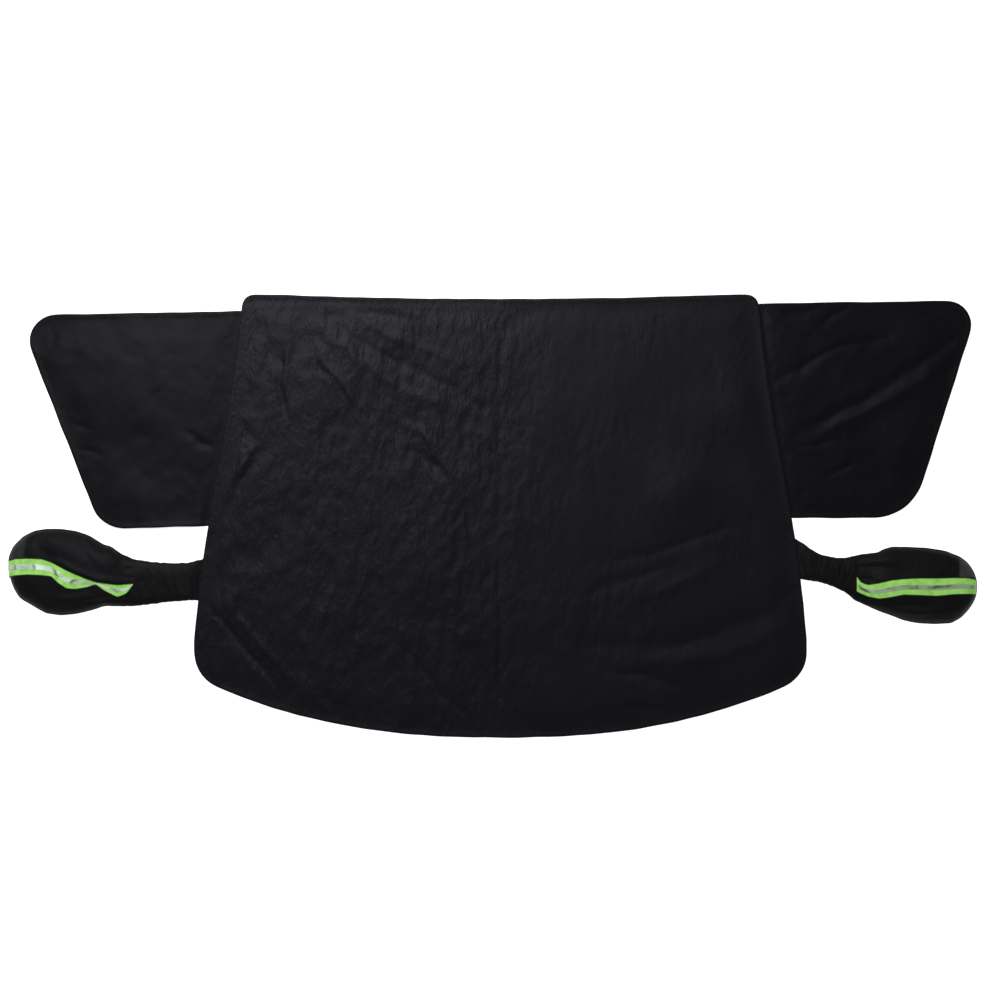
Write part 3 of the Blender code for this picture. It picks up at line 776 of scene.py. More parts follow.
def math_node(tree, operation, first, second=None):
    """The result of a sum on one or two values or outputs."""
    node = add_node(tree, "ShaderNodeMath")
    node.operation = operation
    for socket, value in zip(node.inputs, (first, second)):
        if isinstance(value, (int, float)):
            socket.default_value = value
        elif value is not None:
            link(tree, value, socket)
    return node.outputs[0]


def product(tree, first, *others):
    """The product of values or outputs."""
    for other in others:
        first = math_node(tree, "MULTIPLY", first, other)
    return first


def ramp(tree, factor, stops):
    """Colours along a factor, from (position, colour) stops."""
    node = add_node(tree, "ShaderNodeValToRGB", Fac=factor)
    elements = node.color_ramp.elements
    while len(elements) < len(stops):
        elements.new(0.5)
    for element, (position, colour) in zip(elements, stops):
        element.position = position
        element.color = (*colour, 1.0)
    return node.outputs["Color"]


def spread(tree, factor, low, high):
    """A factor of 0 to 1 turned into values from low to high."""
    return add_node(tree, "ShaderNodeMapRange", Value=factor, To_Min=low, To_Max=high).outputs["Result"]


def weave_height(tree, thread):
    """The height of a plain weave whose threads are that far apart."""
    waves = []
    for direction in ("X", "Y"):
        place = scaled_place(tree, math.pi / 10 / thread)
        wave = add_node(tree, "ShaderNodeTexWave", Scale=1.0, Distortion=0.4, Detail=1.0, Vector=place)
        wave.bands_direction = direction
        waves.append(wave.outputs["Fac"])
    return math_node(tree, "MAXIMUM", *waves)


def bump(tree, height, distance, below=None):
    """Bumps of a real height in metres, on top of other bumps."""
    node = add_node(tree, "ShaderNodeBump", Strength=1.0, Distance=distance, Height=height)
    if below is not None:
        link(tree, below, node.inputs["Normal"])
    return node.outputs["Normal"]


def creased(tree, scale, detail, turn, distortion=0.3):
    """Sharp creases where noise passes its middle."""
    noise = noise_texture(tree, scale, detail, turn, distortion)
    return math_node(tree, "ABSOLUTE", math_node(tree, "SUBTRACT", noise, 0.5))


def measured(tree, name):
    """A number stored for each point of a piece."""
    node = add_node(tree, "ShaderNodeAttribute")
    node.attribute_name = name
    return node.outputs["Fac"]


def stepped(tree, value, start, width):
    """0 below a start, 1 past the width after it, and a ramp between."""
    node = add_node(tree, "ShaderNodeMapRange", Value=value, From_Min=start, From_Max=start + width)
    return node.outputs["Result"]


def blended(tree, share, first, second, blend="MIX"):
    """Two colours or outputs mixed by a share."""
    node = add_node(tree, "ShaderNodeMix")
    node.data_type = "RGBA"
    node.blend_type = blend
    if isinstance(share, float):
        node.inputs["Factor"].default_value = share
    else:
        link(tree, share, node.inputs["Factor"])
    for socket, colour in ((node.inputs["A"], first), (node.inputs["B"], second)):
        if isinstance(colour, tuple):
            socket.default_value = (*colour, 1.0)
        else:
            link(tree, colour, socket)
    return node.outputs["Result"]


WORN_EDGE = (0.020, 0.021, 0.024)


def cloth_material(name, dark, light, crinkle, shine, tint, smooth=0.40):
    """Thin woven polyester: mottled near-black threads, crinkles, and a lighter worn edge."""
    material, tree, shader = new_material(name)
    mottle = noise_texture(tree, (9.0, 7.0, 9.0), 5.0)
    colour = ramp(tree, mottle, ((0.3, dark), (0.7, light)))
    threads = weave_height(tree, 0.0007)
    shaded = blended(tree, 0.5, colour, threads, "MULTIPLY")
    wear_spots = noise_texture(tree, 160.0, 3.0)
    at_edge = math_node(tree, "LESS_THAN", measured(tree, "edge_distance"), 0.0008)
    worn = product(tree, at_edge, wear_spots, 0.4)
    link(tree, blended(tree, worn, shaded, WORN_EDGE), shader.inputs["Base Color"])
    link(tree, spread(tree, mottle, smooth, smooth + 0.11), shader.inputs["Roughness"])
    shader.inputs["Specular IOR Level"].default_value = shine
    shader.inputs["Specular Tint"].default_value = (*tint, 1.0)
    patches = stepped(tree, noise_texture(tree, (11.0, 8.0, 9.0), 2.0), 0.30, 0.35)
    share = product(tree, measured(tree, "crinkled"), spread(tree, patches, 0.45, 1.0))
    slanting = product(tree, creased(tree, (64.0, 38.0, 50.0), 1.0, -38.0, 0.5), share)
    upright = product(tree, creased(tree, (74.0, 25.0, 50.0), 1.0, 6.0, 0.5), share)
    close = product(tree, creased(tree, (120.0, 42.0, 80.0), 1.0, -7.0, 0.4), share)
    fine = bump(tree, threads, 0.00004)
    soft = bump(tree, noise_texture(tree, (90.0, 70.0, 80.0), 3.0), 0.25 * crinkle, fine)
    small = bump(tree, close, 1.0 * crinkle, soft)
    middling = bump(tree, slanting, 1.1 * crinkle, small)
    link(tree, bump(tree, upright, 1.6 * crinkle, middling), shader.inputs["Normal"])
    return material, tree, shader


BLACK_CLOTH = cloth_material(
    "black_cloth", (0.0012, 0.0013, 0.0023), (0.0024, 0.0026, 0.0042),
    crinkle=0.0012, shine=0.178, tint=(0.88, 0.89, 1.0),
)[0]
WING_CLOTH = cloth_material(
    "wing_cloth", (0.0012, 0.0013, 0.0020), (0.0023, 0.0024, 0.0036),
    crinkle=0.0010, shine=0.124, tint=(0.91, 0.92, 1.0),
)[0]
NECK_CLOTH = cloth_material(
    "neck_cloth", (0.0012, 0.0012, 0.0015), (0.0026, 0.0026, 0.0030),
    crinkle=0.0011, shine=0.135, tint=(0.97, 0.97, 1.0), smooth=0.50,
)[0]


def pouch_material(name, side):
    """The pouch's cloth, with a pale end above the tape: paler worn cloth with painted sheen on it."""
    material, tree, shader = cloth_material(
        name, (0.0014, 0.0014, 0.0019), (0.0026, 0.0026, 0.0032),
        crinkle=0.0009, shine=0.135, tint=(0.94, 0.94, 1.0), smooth=0.50,
    )
    # Painted sheen: the raised outer end above the tape gets a lighter colour, over paler worn cloth.
    coordinates = add_node(tree, "ShaderNodeTexCoord")
    place = add_node(tree, "ShaderNodeSeparateXYZ", Vector=coordinates.outputs["Object"])
    patch = side.patch
    reach = product(tree, place.outputs["X"], float(side.sign))
    slanted = math_node(tree, "ADD", reach, product(tree, place.outputs["Y"], patch.slant))
    outer = stepped(tree, slanted, patch.reach + patch.slant * patch.y, patch.soft)
    above = math_node(tree, "GREATER_THAN", place.outputs["Y"], patch.y)
    raised = math_node(tree, "GREATER_THAN", place.outputs["Z"], POUCH_RIM)
    pale_sheen_area = product(tree, outer, above, raised)
    scuff_and_sheen_breakup = noise_texture(tree, 90.0, 4.0)
    share = product(tree, pale_sheen_area, spread(tree, scuff_and_sheen_breakup, 0.35, 1.0))
    plain = shader.inputs["Base Color"].links[0].from_socket
    link(tree, blended(tree, share, plain, patch.colour), shader.inputs["Base Color"])
    return material


POUCH_CLOTHS = {side.name: pouch_material(side.name + "_pouch_cloth", side) for side in (LEFT, RIGHT)}


def set_finish(shader, rough, shine):
    """Gives a shader its roughness and how much it mirrors."""
    shader.inputs["Roughness"].default_value = rough
    shader.inputs["Specular IOR Level"].default_value = shine


def patterned_material(name, pattern, stops, rough, shine, relief):
    """A material whose one pattern gives its shades and its relief."""
    material, tree, shader = new_material(name)
    height = pattern(tree)
    link(tree, ramp(tree, height, stops), shader.inputs["Base Color"])
    set_finish(shader, rough, shine)
    link(tree, bump(tree, height, relief), shader.inputs["Normal"])
    return material


def thread_material(name, colour):
    """Sewing thread: twisted strands with a slight shine."""
    stops = ((0.35, tuple(0.6 * part for part in colour)), (0.65, colour))
    return patterned_material(name, lambda tree: noise_texture(tree, 1500.0, 2.0), stops, 0.55, 0.3, 0.00005)


BLACK_THREAD = thread_material("black_thread", (0.014, 0.014, 0.016))
LIME_THREAD = thread_material("lime_thread", (0.20, 0.52, 0.06))

# The narrow ribbed ribbon that binds a pouch's seam, and dull black knitted elastic.
BINDING_STOPS = ((0.0, (0.006, 0.006, 0.007)), (0.25, (0.016, 0.016, 0.018)))
BINDING = patterned_material(
    "binding", lambda tree: creased(tree, 900.0, 1.0, 0.0), BINDING_STOPS, 0.6, 0.25, 0.0002
)
ELASTIC_STOPS = ((0.2, (0.005, 0.005, 0.006)), (0.9, (0.018, 0.018, 0.020)))
ELASTIC = patterned_material(
    "elastic", lambda tree: weave_height(tree, 0.0011), ELASTIC_STOPS, 0.75, 0.2, 0.00015
)


def tape_material():
    """High-visibility lime tape: close ribs, slightly dirty, with painted shade along its edges."""
    material, tree, shader = new_material("bright_tape")
    grime = noise_texture(tree, 60.0, 5.0)
    stops = ((0.28, (0.26, 0.62, 0.085)), (0.50, (0.37, 0.79, 0.15)), (0.72, (0.46, 0.87, 0.21)))
    colour = ramp(tree, grime, stops)
    # Painted shade: both edges of the tape turn dark green, for the shadow in the gap under them.
    border = stepped(tree, measured(tree, "edge_distance"), 0.0016, 0.0012)
    link(tree, blended(tree, border, (0.010, 0.032, 0.006), colour), shader.inputs["Base Color"])
    set_finish(shader, 0.5, 0.3)
    ribs = weave_height(tree, 0.0009)
    fine = bump(tree, ribs, 0.00006)
    soft = bump(tree, creased(tree, 120.0, 2.0, 0.0), 0.0008, fine)
    link(tree, soft, shader.inputs["Normal"])
    return material


BRIGHT_TAPE = tape_material()


def strip_material(name, dull, pale):
    """Silver reflective strip: fine glass beads, worn blotches, and painted shade darkening it where a
    crease pinches it.
    """
    material, tree, shader = new_material(name)
    blotches = noise_texture(tree, (34.0, 60.0, 40.0), 3.0, 20.0)
    colour = ramp(tree, blotches, ((0.36, dull), (0.52, pale)))
    ragged_shade_noise = noise_texture(tree, 70.0, 1.0)
    # Painted shade: the film turns darker where a crease pinches the strip, with a ragged border.
    ragged = math_node(tree, "ADD", measured(tree, "pinched"), spread(tree, ragged_shade_noise, -0.45, 0.45))
    crease_shade = stepped(tree, ragged, 0.35, 0.60)
    film = blended(tree, crease_shade, colour, tuple(0.5 * part for part in dull))
    link(tree, film, shader.inputs["Base Color"])
    shader.inputs["Metallic"].default_value = 0.30
    link(tree, spread(tree, blotches, 0.34, 0.56), shader.inputs["Roughness"])
    beads = noise_texture(tree, 2500.0, 1.0)
    fine = bump(tree, beads, 0.00004)
    wrinkles = creased(tree, (40.0, 90.0, 60.0), 1.0, 12.0)
    link(tree, bump(tree, wrinkles, 0.0010, fine), shader.inputs["Normal"])
    return material


# One silver strip on both pouches: the right copy is painted darker, as painted shade for the weaker light
# on the right.
STRIP_FILMS = {
    "left": strip_material("left_reflective_strip", (0.40, 0.60, 0.34), (0.66, 0.80, 0.68)),
    "right": strip_material("right_reflective_strip", (0.15, 0.25, 0.10), (0.36, 0.46, 0.32)),
}


# Main panel and wings

MAIN_LOOP = evened(flat_loops("main_panel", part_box("main_panel")[1].z)[0], OUTLINE_STEP, 3)
MAIN_TRACE = Trace(evened(MAIN_LOOP, TRACE_STEP))
SEWN_NAMES = ("left_wing", "left_neck", "right_wing", "right_neck")
SEWN_LOOPS = {name: flat_loops(name, 0.0)[0] for name in SEWN_NAMES}


def sewn_share(x, y, distance):
    """1 where the main panel lies on a wing or neck sewn under its side, fading over the floor."""
    total = np.zeros_like(x)
    for name, loop in SEWN_LOOPS.items():
        tucked = loop[inside(loop, MAIN_LOOP)]
        low, high = tucked[:, 1].min(), tucked[:, 1].max()
        above_low = eased((y - low + SEAM_ENDS) / SEAM_END_FADE)
        ends = above_low * eased((high + SEAM_ENDS - y) / SEAM_END_FADE)
        total = np.maximum(total, ends * (x < 0 if name.startswith("left") else x > 0))
    return total * eased(1.0 - (distance - SEAM_DEPTH) / SEAM_FADE)


def hem_profile(distance):
    """The thickness of a hemmed sheet from its edge inward, with its stitch groove."""
    hem = HEM_EXTRA * (1.0 - eased((distance - HEM_WIDTH + HEM_STEP) / HEM_STEP))
    groove = GROOVE_DEPTH * np.exp(-(((distance - STITCH_DEPTH) / GROOVE_WIDTH) ** 2))
    return CLOTH + hem - groove


def laid_lift(base, waves, distance, run, seed):
    """How far laid cloth stands off the floor: more from its edge inward, with creases up to its hem."""
    risen = base * eased(distance / EDGE_RISE + 0.15)
    lift = np.maximum(risen + waves * eased(distance / CREASE_FADE + 0.10), 0.0)
    ripple = np.clip(line_noise(run / EDGE_WAVE_LENGTH, seed), 0.0, 1.0)
    return lift + EDGE_WAVE * ripple * (1.0 - eased(distance / EDGE_WAVE_DEPTH))


def sheet_heights(lift, distance, run, seed):
    """Under and upper heights of a hemmed sheet that stands at a lift above the floor."""
    pucker_share = np.exp(-(((distance - PUCKER_PLACE) / PUCKER_WIDTH) ** 2))
    pucker = PUCKER_HEIGHT * soft_noise(run / PUCKER_LENGTH, distance / 0.05, seed + 7) * pucker_share
    thickness = hem_profile(distance)
    from_round = 1.0 - np.clip(distance / EDGE_ROUND, 0.0, 1.0)
    rounding = np.sqrt(np.clip(1.0 - from_round ** 2, 0.0, 1.0))
    under = FLOOR_GAP + np.maximum(lift + pucker, 0.0)
    middle = under + thickness / 2
    return middle - thickness / 2 * rounding, middle + thickness / 2 * rounding


def main_shape(flat, distance, run):
    """Heights of the main panel: more crumpled and upright creases on its left, smoother on its right."""
    x, y = flat[:, 0], flat[:, 1]
    warp_x, warp_y = warped(x, y, MAIN_WARP, 31)
    left_share = 1.0 - eased((x + 0.06) / 0.26)
    patches = eased(0.4 + 1.1 * cell_noise(x, y, PATCH_CELL, 33))
    lower_share = np.exp(-(((x - 0.26) / 0.16) ** 2) - ((y + 0.25) / 0.15) ** 2)
    crinkled = 0.08 + 0.92 * left_share + (1.0 - left_share) * np.maximum(0.30 * patches, 0.65 * lower_share)
    base = PANEL_LIFT + mound_heights(x, y, MAIN_MOUNDS) + SWELL * cell_noise(x, y, SWELL_CELL, 34)
    waves = MAIN_FOLD_SHARE * fold_heights(warp_x, warp_y, MAIN_FOLDS)
    waves += MAIN_BROAD_SHARE * left_share * crumple(x, y, BROAD_CREASES, 40)
    waves += MAIN_UPRIGHT_SHARE * crinkled * crumple(x, y, UPRIGHT_CREASES, 50)
    waves += MAIN_CRISS_SHARE * crinkled * crumple(x, y, CRISS_CREASES, 70)
    for number, kind in enumerate(MAIN_FACETS):
        waves += (0.14 + 0.52 * crinkled) * facets(warp_x, warp_y, kind, 90 + number)
    lift = laid_lift(base, waves, distance, run, 35)
    sewn = sewn_share(x, y, distance)
    lift = lift + (SEAM_LIFT - lift) * sewn
    return *sheet_heights(lift, distance, run, 80), crinkled


def make_main_panel():
    """The cloth over the glass."""
    loop = wavering(MAIN_LOOP, 21)
    panel = sheet_piece("main_cloth", loop, MAIN_CELL, main_shape, BLACK_CLOTH, "black_cloth")
    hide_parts("main_panel")
    seam = add_stitches(
        "main_hem_stitches", inset(loop, STITCH_DEPTH), surface_of([panel]), BLACK_THREAD, "binding", True
    )


def make_wing(side):
    """A door flap, its inner margin under the main panel's hem."""
    name = side.name + "_wing"
    loop = wavering(evened(SEWN_LOOPS[name], OUTLINE_STEP, 3), side.seed + 1)

    def shape(flat, distance, run):
        x, y = flat[:, 0], flat[:, 1]
        warp_x, warp_y = warped(x, y, WING_WARP, side.seed + 2)
        from_seam, _ = MAIN_TRACE.measure(flat)
        from_seam[inside(flat, MAIN_LOOP)] = 0.0
        base = WING_LIFT + mound_heights(x, y, WING_MOUNDS)
        waves = WING_FOLD_SHARE * fold_heights(warp_x, warp_y, side.wing_folds)
        waves += WING_BROAD_SHARE * crumple(x, y, BROAD_CREASES, side.seed + 10)
        near_seam = 0.25 + 0.75 * np.exp(-from_seam / 0.06)
        waves += WING_CRISS_SHARE * near_seam * crumple(x, y, CRISS_CREASES, side.seed + 20)
        for number, kind in enumerate(WING_FACETS):
            waves += WING_FACET_SHARE * facets(warp_x, warp_y, kind, side.seed + 24 + number)
        lift = laid_lift(base, waves, distance, run, side.seed + 4) + mound_heights(x, y, RAISED_HEMS)
        lift = lift * eased((from_seam - 0.001) / 0.022)
        return *sheet_heights(lift, distance, run, side.seed + 30), 0.5 * near_seam

    wing = sheet_piece(name + "_cloth", loop, WING_CELL, shape, WING_CLOTH, "black_cloth")
    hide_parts(name)
    hem = inset(loop, STITCH_DEPTH)
    hidden = inside(hem, inset(MAIN_LOOP, -0.002))
    first = int(np.argmax(hidden & ~np.roll(hidden, -1))) + 1
    free = np.roll(hem, -first, axis=0)[: int((~hidden).sum())]
    seam = add_stitches(name + "_stitches", free, surface_of([wing]), BLACK_THREAD, "binding", False)


# Pouches and necks


class Arm:
    """A neck and its mirror pouch: their edges in the photograph and the height of their cloth."""

    def __init__(self, side):
        self.side = side
        self.tip = side.upper[-1][0]
        count = round((self.tip - side.upper[0][0]) / ARM_STEP) + 1
        self.reach = np.linspace(side.upper[0][0], self.tip, count)
        neck_share = 1.0 - eased((self.reach - side.seam - 0.01) / 0.03)
        self.edges = []
        for number, drawn in enumerate((side.lower, side.upper)):
            edge = softened(np.interp(self.reach, *np.transpose(drawn)), (1, 2, 3, 4, 3, 2, 1))
            pucker = line_noise(self.reach / PUCKER_LENGTH, side.seed + 70, number + 0.5)
            self.edges.append(edge + EDGE_PUCKER * pucker * (0.25 + 0.75 * neck_share))
        outer, mouth = flat_loops(side.name + "_pouch_back", 0.0)[:2]
        self.mouth = evened(mouth, 0.003, 1)
        self.middle = outer.mean(axis=0)
        edge = MAIN_LOOP[MAIN_LOOP[:, 0] * side.sign > 0]
        edge = edge[np.argsort(edge[:, 1])]
        self.main_edge = edge[(edge[:, 1] > -0.30) & (edge[:, 1] < 0.30)]

    def sides(self, reach, depth=0.0):
        """The y of the lower and upper edge that far out, drawn in by a depth beyond the neck's seam."""
        low_y, high_y = (np.interp(reach, self.reach, edge) for edge in self.edges)
        drawn_in = depth * eased((reach - self.side.seam - RIM_START) / RIM_FADE)
        return low_y + drawn_in, high_y - drawn_in

    def main_reach(self, y):
        """How far out the main panel's edge is."""
        return np.interp(y, self.main_edge[:, 1], np.abs(self.main_edge[:, 0]))

    def height(self, x, y, depth=0.0):
        """The height of the cloth: flat at its root, gathered in the neck, crowned in the pouch."""
        side = self.side
        reach = x * side.sign
        low_y, high_y = self.sides(reach, depth)
        across = np.clip(np.abs(2 * (y - low_y) / np.maximum(high_y - low_y, 1e-4) - 1), 0.0, 1.0)
        out = reach - self.main_reach(y)
        past_seam = reach - side.seam
        neck_share = 1.0 - eased((past_seam + NECK_FADE_START) / NECK_FADE)
        rise = eased(out / NECK_RISE)
        crown = NECK_CROWN * rise + POUCH_CROWN * eased((past_seam + POUCH_RISE_START) / POUCH_RISE)
        end = np.clip((reach - self.tip + depth + POUCH_END) / POUCH_END, 0.0, 1.0)
        round_over = (1.0 - end ** END_POWER) ** END_ROUND
        profile = (1.0 - across ** (CROWN_POWER + neck_share)) ** CROWN_ROUND * round_over
        slack = 1.0 + SLACK * cell_noise(x, y, SLACK_CELL, side.seed + 40)
        base = FLOOR_GAP + CLOTH + (POUCH_RIM - FLOOR_GAP - CLOTH) * eased((past_seam + 0.03) / 0.03)
        bend = BEND * cell_noise(x, y, BEND_CELL, side.seed + 71)
        gathers = np.abs(cell_noise(x, y, GATHER_CELL, side.seed + 72, bend))
        fine = np.abs(cell_noise(x, y, FINE_GATHER_CELL, side.seed + 73, bend))
        ruffle = (NECK_GATHER * gathers + NECK_FINE_GATHER * fine) * neck_share * eased(out / 0.008)
        fan = np.abs(cell_noise(x, y, FAN_CELL, side.seed + 74, bend))
        fan_share = eased(past_seam / FAN_RISE) * (1.0 - eased((past_seam - FAN_START) / FAN_FADE))
        body = eased((1.0 - across) / BODY_SIDE) * eased((1.0 - end) / BODY_END)
        dents = fold_heights(x, y, side.pouch_folds) + 0.4 * crumple(x, y, BROAD_CREASES, side.seed + 42)
        for number, kind in enumerate(POUCH_FACETS):
            dents = dents + facets(x, y, kind, side.seed + 44 + number)
        height = base + crown * slack * profile
        height = height + ruffle * (0.30 + 0.70 * profile) - FAN_DEPTH * fan * fan_share * profile
        return height + dents * body * (1.0 - neck_share)

    def rim(self, start, depth):
        """The pouch's edge, from its lower end at a reach out round the tip and back along the top."""
        reach = np.linspace(start, self.tip - depth, RIM_POINTS)
        low_y, high_y = self.sides(reach)
        lower = np.column_stack([reach * self.side.sign, low_y + depth])
        upper = np.column_stack([reach * self.side.sign, high_y - depth])
        return np.vstack([lower, upper[::-1]])

    def mouth_point(self, direction):
        """Where a line from the middle meets the mouth."""
        around = np.arctan2(*(self.mouth - self.middle).T[::-1])
        order = np.argsort(around)
        angle = math.atan2(direction[1], direction[0])
        ordered = self.mouth[order]
        return [np.interp(angle, around[order], ordered[:, axis], period=2 * math.pi) for axis in (0, 1)]


def crowded(count):
    """Shares from 0 to 1, closer together at both ends."""
    return (1.0 - np.cos(np.linspace(0.0, math.pi, count))) / 2


def pouch_grid(arm):
    """x and y of a grid over a pouch, its points closer together at its edges and its tip."""
    first = arm.side.seam - SEAM_LAP
    along = np.sin(np.linspace(0.0, 1.0, POUCH_ROWS) * math.pi / 2)
    reach = first + (arm.tip - RIM_INSET - first) * along[:, None]
    low_y, high_y = arm.sides(reach, RIM_INSET)
    y = low_y + (high_y - low_y) * crowded(POUCH_COLUMNS)
    waver = EDGE_PUCKER * line_noise(y / PUCKER_LENGTH, arm.side.seed + 75)
    return (reach + waver * (1.0 - eased((reach - first) / 0.012))) * arm.side.sign, y


def make_pouch_front(arm):
    """The crowned, slack outer cloth of a pouch, lapped over the end of its neck."""
    side = arm.side
    name = side.name + "_pouch_front"
    x, y = pouch_grid(arm)
    past_lap = x * side.sign - side.seam + SEAM_LAP
    upper = arm.height(x.ravel(), y.ravel(), RIM_INSET).reshape(x.shape)
    upper = np.maximum(upper + LAP_LIFT * eased(1.0 - past_lap / 0.02), POUCH_RIM)
    under = upper - POUCH_CLOTH * (0.3 + 0.7 * eased(past_lap / 0.010))
    grids = (np.dstack([x, y, upper]), np.dstack([x, y, under]))
    cloth = POUCH_CLOTHS[side.name]
    front = add_shell(name + "_cloth", *grids, cloth, "black_cloth", edge_distance=1.0, crinkled=0.45)
    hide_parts(name)
    rim = arm.rim(side.seam, 0.0)
    return front


def make_pouch_back(arm):
    """The inner cloth of a pouch, gathered round the mouth that a mirror goes in by."""
    side = arm.side
    name = side.name + "_pouch_back"
    outline = arm.rim(side.seam + BACK_START, RIM_INSET)
    if signed_area(outline) < 0:
        outline = outline[::-1]
    rim = evened(outline, BACK_STEP, 1)
    count = len(rim)
    mouth = np.array([arm.mouth_point(point - arm.middle) for point in rim])
    gather = np.abs(line_noise(np.arange(count) / count * BACK_GATHERS, side.seed + 55))
    inward = list(range(BACK_RINGS + 1))
    layers = []
    for step, lift in [(step, 0.0) for step in inward] + [(step, POUCH_CLOTH) for step in inward[::-1]]:
        share = step / BACK_RINGS
        place = rim + (mouth - rim) * share
        near_mouth = eased((share - 0.15) / 0.85)
        crinkle = np.abs(cell_noise(*place.T, CRINKLE_CELL, side.seed + 56))
        height = FLOOR_GAP + (BACK_GATHER * gather + BACK_CRINKLE * crinkle) * near_mouth + lift
        layers.append(np.column_stack([place, height]))
    faces = tube_faces(len(layers), count, True)
    cloth = POUCH_CLOTHS[side.name]
    measures = {"edge_distance": 1.0, "crinkled": 0.7}
    back = add_piece(name + "_cloth", np.vstack(layers), faces, cloth, "black_cloth", **measures)
    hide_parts(name)


def add_tube(name, route, heights, thick, closed, material, slot_name):
    """A soft tube along a route of x and y at given heights and thicknesses."""
    count = len(route)
    ahead = np.roll(route, -1, axis=0) - np.roll(route, 1, axis=0)
    if not closed:
        ahead[0] = route[1] - route[0]
        ahead[-1] = route[-1] - route[-2]
    ahead /= np.linalg.norm(ahead, axis=1)[:, None]
    outward = np.column_stack([ahead[:, 1], -ahead[:, 0]])
    points = []
    for index in range(count):
        for turn in range(BINDING_SIDES):
            angle = 2 * math.pi * turn / BINDING_SIDES
            place = route[index] + outward[index] * math.cos(angle) * thick[index]
            points.append((*place, heights[index] + math.sin(angle) * thick[index]))
    faces = tube_faces(count, BINDING_SIDES, closed)
    if not closed:
        last = (count - 1) * BINDING_SIDES
        faces.append(tuple(range(BINDING_SIDES)))
        faces.append(tuple(last + turn for turn in reversed(range(BINDING_SIDES))))
    return add_piece(name, points, faces, material, slot_name)


def make_pouch_binding(arm):
    """The bound seam round a pouch's rim, from one end of its neck's seam to the other."""
    side = arm.side
    route = walked(arm.rim(side.seam + 0.002, BINDING_RADIUS * 0.75), BINDING_STEP)
    for _ in range(3):
        route[1:-1] = (route[:-2] + 2 * route[1:-1] + route[2:]) / 4
    waver = cell_noise(*route.T, BINDING_CELL, side.seed + 60)
    heights = POUCH_RIM - BINDING_SINK + 0.0002 * waver
    name = side.name + "_pouch_binding"
    thick = BINDING_RADIUS * (1.0 + 0.10 * waver)
    binding = add_tube(name + "_ribbon", route, heights, thick, False, BINDING, "binding")
    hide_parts(name)


def make_mouth_elastic(arm):
    """The elastic round a pouch's mouth, in its gathered casing."""
    mouth = arm.mouth if signed_area(arm.mouth) > 0 else arm.mouth[::-1]
    route = inset(evened(mouth, MOUTH_STEP), ELASTIC_RADIUS)
    gather = np.abs(line_noise(np.arange(len(route)) * MOUTH_STEP / 0.006, arm.side.seed + 61))
    heights = np.full(len(route), ELASTIC_RADIUS * 1.25 + FLOOR_GAP)
    thick = ELASTIC_RADIUS * (0.85 + 0.35 * gather)
    name = arm.side.name + "_mouth_elastic"
    casing = add_tube(name + "_casing", route, heights, thick, True, ELASTIC, "elastic")
    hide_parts(name)


def make_neck(arm):
    """A gathered neck between the main panel and a pouch: a soft flat tube with close cross creases."""
    side = arm.side
    name = side.name + "_neck"
    low_y, high_y = arm.sides(arm.main_reach(-0.12))
    across = crowded(NECK_COLUMNS)
    root = arm.main_reach(low_y + (high_y - low_y) * across) - NECK_TUCK
    along = np.linspace(0.0, 1.0, NECK_ROWS)[:, None]
    reach = root + (side.seam + 0.001 - root) * along
    low_y, high_y = arm.sides(reach)
    y = low_y + (high_y - low_y) * across
    x = reach * side.sign
    upper = arm.height(x.ravel(), y.ravel()).reshape(x.shape)
    upper -= NECK_DIP * eased((reach - side.seam + SEAM_LAP + 0.002) / 0.006)
    ripple = np.abs(cell_noise(x, y, GATHER_CELL, side.seed + 72))
    body = np.clip(np.minimum(across, 1.0 - across) * 4, 0.0, 1.0)
    under = FLOOR_GAP + NECK_RIPPLE * ripple * body * eased((upper - 0.002) / 0.003)
    grids = (np.dstack([x, y, upper]), np.dstack([x, y, under]))
    neck = add_shell(name + "_cloth", *grids, NECK_CLOTH, "neck_cloth", edge_distance=1.0, crinkled=0.9)
    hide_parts(name)
    return neck


def make_neck_elastic(side):
    """The flat ribbed elastic inside a neck."""
    name = side.name + "_neck_elastic"
    corners = np.array([vertex.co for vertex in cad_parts[name].data.vertices])
    low, high = corners[:, 2].min(), corners[:, 2].max()
    flat = corners[:, :2]
    middle = (flat.max(axis=0) + flat.min(axis=0)) / 2
    axis = np.linalg.eigh(np.cov(np.unique(flat.round(5), axis=0).T))[1][:, 1]
    sideways = np.array([-axis[1], axis[0]])
    half_length = np.abs((flat - middle) @ axis).max()
    half_width = np.abs((flat - middle) @ sideways).max()
    along = np.linspace(-half_length, half_length, ELASTIC_ROWS)[:, None, None]
    across = np.linspace(-half_width, half_width, 4 * RIB_COUNT + 1)[:, None]
    place = middle + axis * along + sideways * across
    rib = RIB_HEIGHT * (1 + np.cos(np.pi / 2 * np.arange(len(across)))) + np.zeros(place.shape[:2])
    grids = (np.dstack([place, high - rib]), np.dstack([place, low + rib]))
    elastic = add_shell(name + "_web", *grids, ELASTIC, "elastic")
    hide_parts(name)


